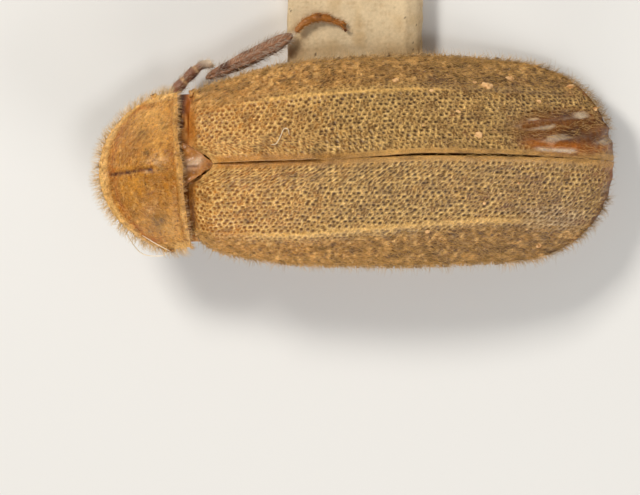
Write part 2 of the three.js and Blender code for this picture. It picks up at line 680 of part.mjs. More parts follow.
const glueBlob = egg(
  new THREE.Vector3(-0.1, -0.06, CARD_THICKNESS), new THREE.Vector3(0.7, 0.58, 0.2), { across: 26, down: 14 },
);
const below = new THREE.BoxGeometry(3, 3, 1);
below.translate(0, 0, CARD_THICKNESS + GAP / 2 - 0.5);
const toFloor = (geometry) => geometry.clone().applyMatrix4(insect.matrixWorld);
const glueCutters = [
  chest(HIND_CHEST, GAP), chest(ABDOMEN, GAP), ...hipCutters,
  limb(middleHip(-1), middleHipSizes, { sides: 14, steps: 12, grow: GAP }),
  limb(middleHip(1), middleHipSizes, { sides: 14, steps: 12, grow: GAP }),
  limb([at(-0.86, -0.56, 0.66), at(-0.55, -0.6, 0.65), at(-0.24, -0.6, 0.645)],
    [[0, 0.045], [0.3, 0.065], [0.75, 0.075], [1, 0.065]], { sides: 12, steps: 16, grow: GAP }),
].map(toFloor);
node("glue", fuse([glueBlob], [below, ...glueCutters]), COLORS.glue, 0.15, group);

export default group;
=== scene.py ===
"""A dried firefly glued by its breast to a card strip, dressed over its solid frame."""
import itertools
import logging
import math
from dataclasses import dataclass
from enum import Enum
from typing import Callable, Sequence

import bpy
import numpy as np
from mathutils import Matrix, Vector


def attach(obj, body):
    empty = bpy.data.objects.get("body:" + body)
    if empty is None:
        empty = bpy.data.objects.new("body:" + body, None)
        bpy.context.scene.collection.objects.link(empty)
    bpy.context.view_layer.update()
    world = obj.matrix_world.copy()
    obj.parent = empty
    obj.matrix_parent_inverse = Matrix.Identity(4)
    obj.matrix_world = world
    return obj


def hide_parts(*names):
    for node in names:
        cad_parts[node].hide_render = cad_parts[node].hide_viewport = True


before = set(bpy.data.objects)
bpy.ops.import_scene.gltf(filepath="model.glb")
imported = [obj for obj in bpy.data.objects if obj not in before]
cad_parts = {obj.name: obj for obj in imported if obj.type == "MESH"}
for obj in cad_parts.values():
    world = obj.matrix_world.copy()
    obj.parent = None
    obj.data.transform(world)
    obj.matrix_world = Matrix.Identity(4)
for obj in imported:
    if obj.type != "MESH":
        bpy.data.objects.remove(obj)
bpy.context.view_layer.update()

log = logging.getLogger("firefly")

Array = np.ndarray
Piece = bpy.types.Object
Rgb = tuple[int, int, int]
Triple = tuple[float, float, float]
Stations = tuple[tuple[float, float], ...]

MM = 0.001
ROLL = math.radians(16)
ROLL_HEIGHT = 1.2
FLANK_RISE = 0.22
PIXELS_PER_MM = 80.0
UNWRAP_MARGIN, UNWRAP_SPAN = 0.02, 0.96


class Side(Enum):
    """Which side of the animal a piece belongs to; the right side lies towards +Y."""

    LEFT = -1
    RIGHT = 1

    @property
    def label(self) -> str:
        """The side's name in the names of pieces."""
        return self.name.lower()


# Curves and numbers

def rise(x: Array, a: float, b: float) -> Array:
    """Gives a smooth rise from 0 at a to 1 at b."""
    t = np.clip((np.asarray(x, float) - a) / (b - a), 0, 1)
    return t * t * (3 - 2 * t)


def bump(x: Array, middle: float, reach: float) -> Array:
    """Gives a smooth bump of height 1 and the given half-width about a middle."""
    return np.exp(-(((np.asarray(x, float) - middle) / reach) ** 2))


def through(stations: Sequence[tuple[float, float]]) -> Callable[[Array], Array]:
    """Makes a smooth curve through stations.

    Args:
        stations: pairs of a place and the value there, in order.

    Returns:
        A function that reads the curve at any places.
    """
    xs, ys = np.array(stations, float).T
    after_x, before_x = np.r_[xs[1:], xs[-1]], np.r_[xs[0], xs[:-1]]
    after_y, before_y = np.r_[ys[1:], ys[-1]], np.r_[ys[0], ys[:-1]]
    slopes = (after_y - before_y) / (after_x - before_x)

    def read(x: Array) -> Array:
        """Reads the curve.

        Args:
            x: the places to read it at.

        Returns:
            The values there.
        """
        x = np.asarray(x, float)
        i = np.clip(np.searchsorted(xs, x, side="right") - 1, 0, len(xs) - 2)
        span = xs[i + 1] - xs[i]
        t = np.clip((x - xs[i]) / span, 0, 1)
        bend = span * t * (1 - t) * ((1 - t) * slopes[i] - t * slopes[i + 1])
        return ys[i] + (ys[i + 1] - ys[i]) * t * t * (3 - 2 * t) + bend

    return read


def scatter(cells: Array, seed: int) -> Array:
    """Turns whole-number cells into steady random numbers.

    Args:
        cells: whole numbers, one row for each cell.
        seed: a whole number that picks the set.

    Returns:
        One number from 0 to 1 for each row.
    """
    primes = np.array([73856093, 19349663, 83492791, 40503])[: cells.shape[1]]
    h = (cells.astype(np.int64) * primes).sum(axis=1) + seed * 2654435761
    h = (h ^ (h >> 13)) & 0xFFFFFFFF
    h = (h * 1274126177) & 0xFFFFFFFF
    h = h ^ (h >> 16)
    h = (h * 2246822519) & 0xFFFFFFFF
    return ((h ^ (h >> 15)) & 0xFFFFFF) / float(0xFFFFFF)


def noise(points: Array, size: float | Triple, seed: int = 0) -> Array:
    """Gives smooth noise over space.

    Args:
        points: places in mm, one row each.
        size: the size of the lumps in mm, alike or for each direction.
        seed: a whole number that picks the pattern.

    Returns:
        A number from -1 to 1 for each point.
    """
    p = points / np.asarray(size, float) + 31.7 * (seed + 1)
    whole = np.floor(p).astype(np.int64)
    f = p - whole
    f = f * f * (3 - 2 * f)
    total = np.zeros(len(points))
    for corner in itertools.product((0, 1), repeat=3):
        step = np.array(corner)
        weight = np.prod(np.where(step == 1, f, 1 - f), axis=1)
        total += weight * scatter(whole + step, seed)
    return total * 2 - 1


def rough_noise(points: Array, size: float, seed: int = 0, layers: int = 3) -> Array:
    """Adds layers of noise, each half the size of the last.

    Args:
        points: places in mm, one row each.
        size: the size in mm of the largest lumps.
        seed: a whole number that picks the pattern.
        layers: how many layers there are.

    Returns:
        A number for each point, mostly from -1 to 1.
    """
    total = np.zeros(len(points))
    for i in range(layers):
        total += noise(points, size / 2 ** i, seed + 7 * i) * 0.6 ** i
    return total


def spots(points: Array, size: float | Triple, seed: int, low: float, high: float) -> Array:
    """Gives soft spots: 0 where the noise is under low, 1 where it is over high."""
    return rise(noise(points, size, seed), low, high)


def clouds(points: Array, size: float, seed: int, low: float, high: float) -> Array:
    """Gives ragged clouds: 0 where rough noise is under low, 1 where it is over high."""
    return rise(rough_noise(points, size, seed), low, high)


def oval(x: Array, y: Array, place: tuple[float, float], reach: tuple[float, float]) -> Array:
    """Gives a smooth oval bump of height 1 about a place, with a reach each way."""
    return bump(np.hypot((x - place[0]) / reach[0], (y - place[1]) / reach[1]), 0, 1)


def unit(vectors: Array) -> Array:
    """Brings the vectors in the rows to a length of 1."""
    return vectors / np.maximum(np.linalg.norm(vectors, axis=1), 1e-6)[:, None]


def turned(vectors: Array | Triple) -> Array:
    """Turns directions of the upright insect to the row frame.

    Args:
        vectors: one direction, or one in each row.

    Returns:
        The same directions in the row frame.
    """
    c, s = math.cos(ROLL), math.sin(ROLL)
    x, y, z = np.asarray(vectors, float).T
    return np.stack([x, y * c + z * s, z * c - y * s], axis=-1)


def to_row(x: Array, y: Array, z: Array) -> Array:
    """Places points of the upright insect in the row frame, both in mm."""
    return turned(np.stack([x, y, z], 1)) - np.array([0, ROLL_HEIGHT * math.sin(ROLL), 0])


def to_insect(points: Array) -> Array:
    """Turns points of the row frame back to the upright insect, both in mm.

    Args:
        points: places in the row frame, one row each.

    Returns:
        The same places on the upright insect.
    """
    c, s = math.cos(ROLL), math.sin(ROLL)
    x, y, z = points.T
    y = y + ROLL_HEIGHT * s
    return np.stack([x, y * c - z * s, y * s + z * c], axis=1)


# Shades

def colour(shade: Rgb | Array) -> Array:
    """Gives a shade in linear light.

    Args:
        shade: screen values of 0 to 255, or an array that is in linear light already.

    Returns:
        The shade, or the array as it came.
    """
    if isinstance(shade, np.ndarray):
        return shade
    c = np.array(shade) / 255
    return np.where(c <= 0.04045, c / 12.92, ((c + 0.055) / 1.055) ** 2.4)


def coated(base: Rgb | Array, *coats: tuple[Rgb | Array, Array]) -> Array:
    """Lays coats of shade one over another.

    Args:
        base: the first shade, for all points or for each.
        coats: pairs of a shade and its amount, from 0 to 1, at each point.

    Returns:
        A shade in linear light for each point.
    """
    tint = colour(base)
    for shade, amount in coats:
        tint = tint + (colour(shade) - tint) * np.clip(amount, 0, 1)[:, None]
    return tint


# Finishes

class Net:
    """The nodes of a material, each added with its settings and links in one call."""

    def __init__(self, material: bpy.types.Material) -> None:
        """Empties the material's tree.

        Args:
            material: the material whose nodes these are.
        """
        material.use_nodes = True
        self.tree = material.node_tree
        self.tree.nodes.clear()

    def add(self, kind: str, inputs: dict, **settings: str | bool) -> bpy.types.Node:
        """Adds a node.

        Args:
            kind: its type, without ShaderNode before it.
            inputs: a value or a socket for each input that is set.
            settings: its other settings.

        Returns:
            The node.
        """
        node = self.tree.nodes.new(f"ShaderNode{kind}")
        for key, value in settings.items():
            setattr(node, key, value)
        for key, value in inputs.items():
            if isinstance(value, bpy.types.NodeSocket):
                self.tree.links.new(value, node.inputs[key])
            else:
                node.inputs[key].default_value = value
        return node


@dataclass(frozen=True)
class Finish:
    """How a surface looks close up; its shade comes from the tint laid on the mesh."""

    name: str
    slot: str
    roughness: float = 0.5
    polish: float = 0.2
    grain_size: float = 0.03
    grain_depth: float = 0.002
    grain_tone: float = 0.2
    fleck_size: float = 0.12
    fleck_tone: float = 0.12
    facets: float = 0.0
    facet_depth: float = 0.002
    coat: float = 0.0
    specular: float = 0.3
    glow: float = 0.0

    def build(self) -> bpy.types.Material:
        """Makes the material of this finish.

        Returns:
            A material that reads the tint and polish laid on a mesh.
        """
        material = bpy.data.materials.new(self.name)
        net = Net(material)
        place = net.add("TexCoord", {}).outputs["Object"]
        shade = net.add("Attribute", {}, attribute_name="tint").outputs["Color"]
        normal = None
        for size, detail, tone in ((self.grain_size, 5, self.grain_tone),
                                   (self.fleck_size, 3, self.fleck_tone)):
            cloud = net.add("TexNoise", {"Vector": place, "Scale": 1 / (size * MM),
                                         "Detail": detail, "Roughness": 0.6}).outputs["Fac"]
            if normal is None:
                normal = net.add("Bump", {"Height": cloud, "Distance": self.grain_depth * MM,
                                          "Strength": 0.8}).outputs["Normal"]
            span = net.add("MapRange", {"Value": cloud, "From Min": 0.25, "From Max": 0.75,
                                        "To Min": 1 - tone, "To Max": 1 + tone})
            shade = net.add("VectorMath", {0: shade, "Scale": span.outputs["Result"]},
                            operation="SCALE").outputs["Vector"]
        if self.facets:
            cells = net.add("TexVoronoi", {"Vector": place, "Scale": 1 / (self.facets * MM),
                                           "Randomness": 0.25})
            normal = net.add("Bump", {"Height": cells.outputs["Distance"], "Normal": normal,
                                      "Distance": self.facet_depth * MM, "Strength": 0.7},
                             invert=True).outputs["Normal"]
        polish = net.add("Attribute", {}, attribute_name="polish")
        wear = net.add("MapRange", {"Value": polish.outputs["Fac"], "To Min": self.roughness,
                                    "To Max": self.polish})
        inner = {}
        if self.glow:
            inner = {"Subsurface Weight": self.glow, "Subsurface Scale": 0.03 * MM,
                     "Subsurface Radius": (1.0, 0.5, 0.25)}
        shader = net.add("BsdfPrincipled", {
            "Base Color": shade, "Roughness": wear.outputs["Result"], "Normal": normal,
            "Specular IOR Level": self.specular, "Coat Weight": self.coat,
            "Coat Roughness": 0.12, **inner})
        net.add("OutputMaterial", {"Surface": shader.outputs["BSDF"]})
        return material


CASE_SHELL = Finish("case_shell", "wing_case", roughness=0.4, polish=0.08, grain_size=0.014,
                    grain_depth=0.005, grain_tone=0.55, fleck_size=0.07, fleck_tone=0.25,
                    specular=0.34)
HOOD_SHELL = Finish("hood_shell", "neck_shield", roughness=0.38, grain_size=0.014,
                    grain_depth=0.0045, grain_tone=0.5, fleck_size=0.08, fleck_tone=0.3,
                    specular=0.34)
PALE_SKIN = Finish("pale_skin", "pale_shell", roughness=0.4, grain_size=0.02, glow=0.15)
CHEST_SHELL = Finish("chest_shell", "chest_shell", roughness=0.34, polish=0.14,
                     grain_depth=0.003, grain_tone=0.26, fleck_size=0.14, fleck_tone=0.2)
DARK_SHELL = Finish("dark_shell", "dark_shell", roughness=0.28, polish=0.1,
                    grain_depth=0.003, grain_tone=0.25, fleck_tone=0.2)
LEG_SHELL = Finish("leg_shell", "leg_ochre", roughness=0.38, polish=0.15, grain_size=0.02,
                   grain_depth=0.0025, grain_tone=0.22, fleck_size=0.1, fleck_tone=0.15)
SHIN_SHELL = Finish("shin_shell", "leg_brown", roughness=0.48, grain_size=0.014,
                    grain_depth=0.003, grain_tone=0.3, fleck_size=0.06, fleck_tone=0.2)
FEELER_SHELL = Finish("feeler_shell", "feeler_brown", grain_size=0.012, grain_depth=0.003,
                      grain_tone=0.3, fleck_size=0.05, fleck_tone=0.2)
EYE_LENS = Finish("eye_lens", "eye_black", roughness=0.22, polish=0.12, grain_size=0.04,
                  grain_depth=0.001, grain_tone=0.4, facets=0.014, facet_depth=0.0009,
                  coat=0.35)
WING_SKIN = Finish("wing_skin", "wing_membrane", roughness=0.36, polish=0.16,
                   grain_size=0.025, grain_depth=0.003, grain_tone=0.3, fleck_size=0.1,
                   fleck_tone=0.25, glow=0.1)
CARD_STOCK = Finish("card_stock", "card", roughness=0.85, grain_size=0.035,
                    grain_depth=0.006, grain_tone=0.12, fleck_size=0.2, fleck_tone=0.1)
DRY_GLUE = Finish("dry_glue", "glue", roughness=0.2, polish=0.08, grain_size=0.06,
                  grain_depth=0.006, grain_tone=0.3, fleck_size=0.15, fleck_tone=0.3, coat=0.3)
HAIR_SHAFT = Finish("hair_shaft", "wing_case", roughness=0.25, grain_size=0.05,
                    grain_depth=0.0, grain_tone=0.1, fleck_tone=0.15, specular=0.7)
MATERIALS: dict[Finish, bpy.types.Material] = {}


def material_of(finish: Finish) -> bpy.types.Material:
    """Gives the one material of a finish, made when first asked for."""
    if finish not in MATERIALS:
        MATERIALS[finish] = finish.build()
    return MATERIALS[finish]


# Working on meshes

def select_only(*pieces: Piece) -> None:
    """Selects pieces and nothing else.

    Args:
        pieces: the pieces; the first becomes the active one.
    """
    if bpy.context.object and bpy.context.object.mode != "OBJECT":
        bpy.ops.object.mode_set(mode="OBJECT")
    bpy.ops.object.select_all(action="DESELECT")
    for piece in pieces:
        piece.select_set(True)
    bpy.context.view_layer.objects.active = pieces[0]


def places(piece: Piece) -> Array:
    """Gives the places of a piece's points.

    Args:
        piece: the piece.

    Returns:
        One row for each point.
    """
    data = np.empty(len(piece.data.vertices) * 3)
    piece.data.vertices.foreach_get("co", data)
    return data.reshape(-1, 3)


def move_to(piece: Piece, points: Array) -> None:
    """Moves the points of a piece."""
    piece.data.vertices.foreach_set("co", np.ascontiguousarray(points, float).ravel())
    piece.data.update()


def normals(piece: Piece) -> Array:
    """Gives the directions in which a piece's points face.

    Args:
        piece: the piece.

    Returns:
        One row for each point.
    """
    data = np.empty(len(piece.data.vertices) * 3)
    piece.data.vertex_normals.foreach_get("vector", data)
    return data.reshape(-1, 3)


def lift_skin(piece: Piece, points: Array, facing: Array, lift: Array) -> None:
    """Moves each point of a piece along the way it faces."""
    move_to(piece, points + facing * lift[:, None])


def lay_tint(piece: Piece, tint: Array, polish: Array | float = 0.0) -> None:
    """Lays a shade and a polish on the points of a piece.

    Args:
        piece: the mesh that takes them.
        tint: a shade in linear light, for all points or for each.
        polish: from 0, as the finish is, to 1, as bright as it can be.
    """
    count = len(piece.data.vertices)
    rgba = np.ones((count, 4), np.float32)
    rgba[:, :3] = np.clip(tint, 0, 1)
    values = np.zeros(count, np.float32)
    values[:] = np.clip(np.asarray(polish, np.float32), 0, 1)
    for name, kind, key, data in (("tint", "FLOAT_COLOR", "color", rgba),
                                  ("polish", "FLOAT", "value", values)):
        layer = piece.data.attributes.new(name, kind, "POINT")
        layer.data.foreach_set(key, data.ravel())


def modify(piece: Piece, kind: str, **settings: float | int | str | bool) -> None:
    """Adds a modifier to a piece and applies it at once.

    Args:
        piece: the piece.
        kind: the modifier's type.
        settings: its settings.
    """
    select_only(piece)
    bpy.ops.object.modifier_add(type=kind)
    modifier = piece.modifiers[-1]
    for key, value in settings.items():
        setattr(modifier, key, value)
    bpy.ops.object.modifier_apply(modifier=modifier.name)


def join(pieces: list[Piece], name: str) -> Piece:
    """Joins pieces in one.

    Args:
        pieces: what is joined.
        name: the name of the whole.

    Returns:
        The joined piece.
    """
    select_only(*pieces)
    bpy.ops.object.join()
    pieces[0].name = name
    return pieces[0]


def drop_unwraps(piece: Piece) -> None:
    """Takes away the UV maps that a primitive came with."""
    while piece.data.uv_layers:
        piece.data.uv_layers.remove(piece.data.uv_layers[0])


def merge_close(piece: Piece, gap: float, outward: bool = False) -> None:
    """Merges the points of a piece that lie closer than a gap.

    Args:
        piece: the piece, in mm.
        gap: the distance in mm.
        outward: whether its faces are turned outward too.
    """
    select_only(piece)
    bpy.ops.object.mode_set(mode="EDIT")
    bpy.ops.mesh.select_all(action="SELECT")
    bpy.ops.mesh.remove_doubles(threshold=gap)
    if outward:
        bpy.ops.mesh.normals_make_consistent(inside=False)
    bpy.ops.object.mode_set(mode="OBJECT")


def settle(piece: Piece, finish: Finish, nodes: Sequence[str] = ()) -> Piece:
    """Brings a piece made in mm to its real size and gives it its finish and body.

    Args:
        piece: the mesh, its points in mm in the row frame.
        finish: what covers it.
        nodes: the solids that it stands for.

    Returns:
        The piece.
    """
    move_to(piece, places(piece) * MM)
    select_only(piece)
    bpy.ops.object.shade_smooth()
    piece.data.materials.clear()
    piece.data.materials.append(material_of(finish))
    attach(piece, "root")
    if nodes:
        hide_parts(*nodes)
    triangles = sum(len(face.vertices) - 2 for face in piece.data.polygons)
    log.info("%s: %d triangles", piece.name, triangles)
    return piece


def settle_sheet(piece: Piece, thickness: float, finish: Finish,
                 nodes: Sequence[str] = ()) -> Piece:
    """Gives a sheet its thickness, below its face, and settles it."""
    modify(piece, "SOLIDIFY", thickness=thickness, offset=-1.0)
    return settle(piece, finish, nodes)


def grid(name: str, columns: int, rows: int, flip_u: bool = False,
         flip_v: bool = False) -> tuple[Piece, Array, Array]:
    """Adds a flat grid to be shaped.

    Args:
        name: the name of the piece.
        columns: cells along the first direction.
        rows: cells along the second direction.
        flip_u: whether the first share runs against +X of the grid.
        flip_v: whether the second share runs against +Y of the grid.

    Returns:
        The piece and both shares, from 0 to 1, at each of its points.
    """
    bpy.ops.object.select_all(action="DESELECT")
    bpy.ops.mesh.primitive_grid_add(x_subdivisions=columns, y_subdivisions=rows, size=2)
    piece = bpy.context.object
    piece.name = name
    drop_unwraps(piece)
    points = places(piece)
    u, v = (points[:, 0] + 1) / 2, (points[:, 1] + 1) / 2
    return piece, 1 - u if flip_u else u, 1 - v if flip_v else v


def copy_of(node: str, name: str) -> Piece:
    """Copies a solid as a merged mesh in mm, ready to be refined.

    Args:
        node: the solid's name.
        name: the name of the copy.

    Returns:
        The copy.
    """
    piece = bpy.data.objects.new(name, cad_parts[node].data.copy())
    bpy.context.scene.collection.objects.link(piece)
    piece.data.materials.clear()
    move_to(piece, places(piece) / MM)
    select_only(piece)
    if piece.data.has_custom_normals:
        bpy.ops.mesh.customdata_custom_splitnormals_clear()
    merge_close(piece, 0.0008)
    return piece


def refine(piece: Piece, levels: int, voxel: float, rounds: int) -> None:
    """Rounds a faceted copy and gives it an even fine mesh.

    Args:
        piece: the merged copy, in mm.
        levels: how often its faces are divided and rounded first.
        voxel: the cell size in mm of the even mesh, or 0 to leave it as it is.
        rounds: how often the even mesh is smoothed.
    """
    if levels:
        modify(piece, "SUBSURF", levels=levels, render_levels=levels)
    if voxel:
        select_only(piece)
        piece.data.remesh_voxel_size = voxel
        bpy.ops.object.voxel_remesh()
    if rounds:
        modify(piece, "SMOOTH", iterations=rounds, factor=0.5)


# Hair

@dataclass(frozen=True)
class HairStyle:
    """How the hairs of one region grow, lengths in mm."""

    length: float
    radius: float
    lean: float
    shade: Rgb
    spread: float = 0.35
    vary: float = 0.3
    curl: float = 0.5
    shade_vary: float = 0.35
    own_shade: float = 0.6


@dataclass
class Roots:
    """Where hairs grow: their roots, the way the skin faces, their lie, unwrap and tint."""

    points: Array
    facing: Array
    lie: Array
    unwrap: Array
    tint: Array

    def some(self, chosen: Array) -> "Roots":
        """Gives the chosen roots only."""
        return Roots(self.points[chosen], self.facing[chosen], self.lie[chosen],
                     self.unwrap[chosen], self.tint[chosen])


class Coat:
    """Hairs in one mesh, each a copy of a single modelled shaft."""

    cuts = (0.35, 0.7)
    patch_size = 0.0012
    shaft: Array | None = None
    shaft_faces: list[tuple[int, ...]] = []

    def __init__(self, name: str, seed: int) -> None:
        """Starts an empty coat.

        Args:
            name: the name of its mesh.
            seed: picks the chances of its hairs.
        """
        self.name = name
        self.random = np.random.default_rng(seed)
        self.points: list[Array] = []
        self.tints: list[Array] = []
        self.patches: list[Array] = []

    @classmethod
    def model_shaft(cls) -> None:
        """Models the one shaft that all hairs copy: a thin cone cut into three lengths."""
        bpy.ops.object.select_all(action="DESELECT")
        bpy.ops.mesh.primitive_cone_add(vertices=3, radius1=1, radius2=0, depth=1,
                                        location=(0, 0, 0.5))
        piece = bpy.context.object
        bpy.ops.object.transform_apply(location=True, rotation=True, scale=True)
        bpy.ops.object.mode_set(mode="EDIT")
        for height in cls.cuts:
            bpy.ops.mesh.select_all(action="SELECT")
            bpy.ops.mesh.bisect(plane_co=(0, 0, height), plane_no=(0, 0, 1))
        bpy.ops.object.mode_set(mode="OBJECT")
        cls.shaft = places(piece)
        cls.shaft_faces = [tuple(face.vertices) for face in piece.data.polygons]
        bpy.data.objects.remove(piece, do_unlink=True)

    def grow(self, roots: Roots, style: HairStyle) -> None:
        """Grows one hair from each root.

        Args:
            roots: where they grow.
            style: how they look.
        """
        if self.shaft is None:
            self.model_shaft()
        count, draw, shaft, facing = len(roots.points), self.random, self.shaft, roots.facing
        length = style.length * (1 + style.vary * draw.uniform(-1, 1, count))
        lie = roots.lie + style.spread * draw.normal(0, 1, (count, 3))
        lie = unit(lie - (lie * facing).sum(1)[:, None] * facing)
        across = unit(np.cross(facing, lie))
        lean = np.clip(style.lean + 0.12 * draw.normal(0, 1, count), 0.02, 0.98)[:, None]
        start = unit(facing * (1 - lean) + lie * lean)
        out = np.cross(lie, across)
        out *= np.sign((out * facing).sum(1))[:, None]
        t = shaft[:, 2]
        bend = (lie * style.curl)[:, None, :] * (t ** 2)[:, None]
        bend -= (out * style.curl * 0.5)[:, None, :] * (t ** 2)[:, None]
        body = (start[:, None, :] * t[:, None] + bend) * length[:, None, None]
        side = across[:, None, :] * shaft[:, 0, None] + out[:, None, :] * shaft[:, 1, None]
        root = roots.points - facing * style.radius
        self.points.append((root[:, None, :] + body + side * style.radius).reshape(-1, 3))
        shade = colour(style.shade) * (1 + style.shade_vary * draw.uniform(-1, 1, count))[:, None]
        shade = style.own_shade * shade + (1 - style.own_shade) * roots.tint
        self.tints.append(np.repeat(shade, len(shaft), axis=0))
        patch = self.patch_size * np.stack([shaft[:, 0], 2 * t - 1], 1)
        self.patches.append((roots.unwrap[:, None, :] + patch).reshape(-1, 2))

    def finish(self) -> Piece:
        """Joins all hairs in one mesh with its OFBake map and dresses it.

        Returns:
            The coat.
        """
        points = np.concatenate(self.points)
        size = len(self.shaft)
        count = len(points) // size
        corners = np.array(list(itertools.chain(*self.shaft_faces)))
        loops = (corners[None, :] + size * np.arange(count)[:, None]).ravel()
        totals = np.tile([len(face) for face in self.shaft_faces], count)
        mesh = bpy.data.meshes.new(self.name)
        mesh.vertices.add(len(points))
        mesh.vertices.foreach_set("co", points.ravel())
        mesh.loops.add(len(loops))
        mesh.loops.foreach_set("vertex_index", loops)
        mesh.polygons.add(len(totals))
        mesh.polygons.foreach_set("loop_start", np.cumsum(totals) - totals)
        mesh.update(calc_edges=True)
        piece = bpy.data.objects.new(self.name, mesh)
        bpy.context.scene.collection.objects.link(piece)
        lay_tint(piece, np.concatenate(self.tints))
        layer = mesh.uv_layers.new(name="OFBake")
        patches = np.concatenate(self.patches)[loops]
        layer.data.foreach_set("uv", np.clip(patches, 0, 1).ravel())
        return settle(piece, HAIR_SHAFT)


def unwrapped(u: Array, v: Array) -> Array:
    """Gives the unwrap of shares from 0 to 1, with a margin all round."""
    return UNWRAP_MARGIN + UNWRAP_SPAN * np.stack([u, v], 1)


def in_order(mask: Array, by: Array) -> Array:
    """Gives the numbers of the points in a mask, ordered by a value."""
    numbers = np.flatnonzero(mask)
    return numbers[np.argsort(by[numbers])]


def along_rim(roots: Roots, line: Array, count: int, draw: np.random.Generator) -> Roots:
    """Spreads hair roots evenly by length along a line of points.

    Args:
        roots: all points of the sheet.
        line: the numbers of the points of the line, in order.
        count: how many roots are wanted.
        draw: where the chances come from.

    Returns:
        The roots, between the points of the line.
    """
    gaps = np.linalg.norm(np.diff(roots.points[line], axis=0), axis=1)
    first = draw.choice(len(gaps), count, p=gaps / gaps.sum())
    share = draw.random(count)[:, None]
    chosen, after = roots.some(line[first]), roots.some(line[first + 1])
    chosen.points = chosen.points + (after.points - chosen.points) * share
    chosen.unwrap = chosen.unwrap + (after.unwrap - chosen.unwrap) * share
    return chosen


def surface_roots(piece: Piece, count: int, seed: int, lie: Triple) -> Roots:
    """Picks hair roots all over a piece, evenly by area.

    Args:
        piece: the skin, in mm, with its tint laid on.
        count: how many there are.
        seed: picks the set.
        lie: the way the hairs point.

    Returns:
        The roots.
    """
    draw = np.random.default_rng(seed)
    mesh = piece.data
    mesh.calc_loop_triangles()
    corners = np.empty(len(mesh.loop_triangles) * 3, np.int32)
    mesh.loop_triangles.foreach_get("vertices", corners)
    corners = corners.reshape(-1, 3)
    points, facing = places(piece), normals(piece)
    a, b, c = (points[corners[:, i]] for i in range(3))
    area = np.linalg.norm(np.cross(b - a, c - a), axis=1)
    chosen = draw.choice(len(corners), count, p=area / area.sum())
    w = np.sort(draw.uniform(0, 1, (count, 2)), axis=1)
    w = np.stack([w[:, 0], w[:, 1] - w[:, 0], 1 - w[:, 1]], 1)[:, :, None]
    tri = corners[chosen]
    spots_at, faces = (points[tri] * w).sum(1), unit((facing[tri] * w).sum(1))
    rgba = np.empty(len(mesh.vertices) * 4, np.float32)
    mesh.attributes["tint"].data.foreach_get("color", rgba)
    low, high = points.min(0), points.max(0)
    share = (spots_at - low) / np.maximum(high - low, 1e-6)
    half = np.where(faces[:, 1] > 0, 0.5, 0.0)
    unwrap = np.stack([UNWRAP_MARGIN + 0.46 * share[:, 0] + half,
                       UNWRAP_MARGIN + UNWRAP_SPAN * share[:, 2]], 1)
    way = np.tile(np.array(lie, float), (count, 1))
    return Roots(spots_at, faces, way, unwrap, rgba.reshape(-1, 4)[tri[:, 0], :3])


# Wing cases

@dataclass(frozen=True)
class CaseForm:
    """What sets one wing case apart from the other.

    The curves run along the insect: the width from seam to rim, the fall from seam to rim, and
    the share of the width at which the rib runs.
    """

    width: Stations
    fall: Stations
    rib: Stations
    rib_height: float
    rib_reach: float
    rib_pale: float
    crest_height: float
    far_shade: Rgb


CASE_FORMS = {
    Side.LEFT: CaseForm(
        width=((-2.03, 0.86), (-1.94, 1.0), (-1.75, 1.12), (-1.5, 1.185), (-1.19, 1.235),
               (-0.7, 1.285), (0.56, 1.3), (1.19, 1.27), (1.8, 1.235), (3.3, 1.235)),
        fall=((-2.03, 0.52), (-1.67, 0.82), (-1.0, 0.99), (-0.3, 0.96), (0.7, 0.93),
              (1.45, 0.9), (1.8, 0.9), (2.2, 0.93), (2.575, 0.94), (2.9, 1.06), (3.075, 1.5),
              (3.23, 1.8)),
        rib=((-1.9, 0.8), (-1.06, 0.76), (0.06, 0.68), (1.19, 0.63), (2.6, 0.6)),
        rib_height=0.048, rib_reach=2.2, rib_pale=0.03, crest_height=0.07,
        far_shade=(112, 70, 36)),
    Side.RIGHT: CaseForm(
        width=((-2.03, 0.82), (-1.9, 0.9), (-1.75, 0.95), (-1.5, 1.03), (-1.19, 1.125),
               (-0.7, 1.22), (0.0, 1.275), (0.9, 1.315), (1.8, 1.28), (3.3, 1.28)),
        fall=((-2.03, 0.5), (-1.67, 0.7), (-1.0, 0.81), (-0.3, 0.8), (0.5, 0.82), (1.1, 0.9),
              (1.7, 0.93), (2.31, 0.91), (2.65, 0.83), (3.0, 0.4), (3.23, 0.3)),
        rib=((-1.9, 0.66), (2.6, 0.66)),
        rib_height=0.03, rib_reach=0.9, rib_pale=0.02, crest_height=0.16,
        far_shade=(98, 58, 24)),
}


@dataclass
class CaseSkin:
    """What the tint of a wing case goes by, one value for each point."""

    points: Array
    out: Array
    share: Array
    flank: Array
    smooth: Array
    pit: Array
    ring: Array


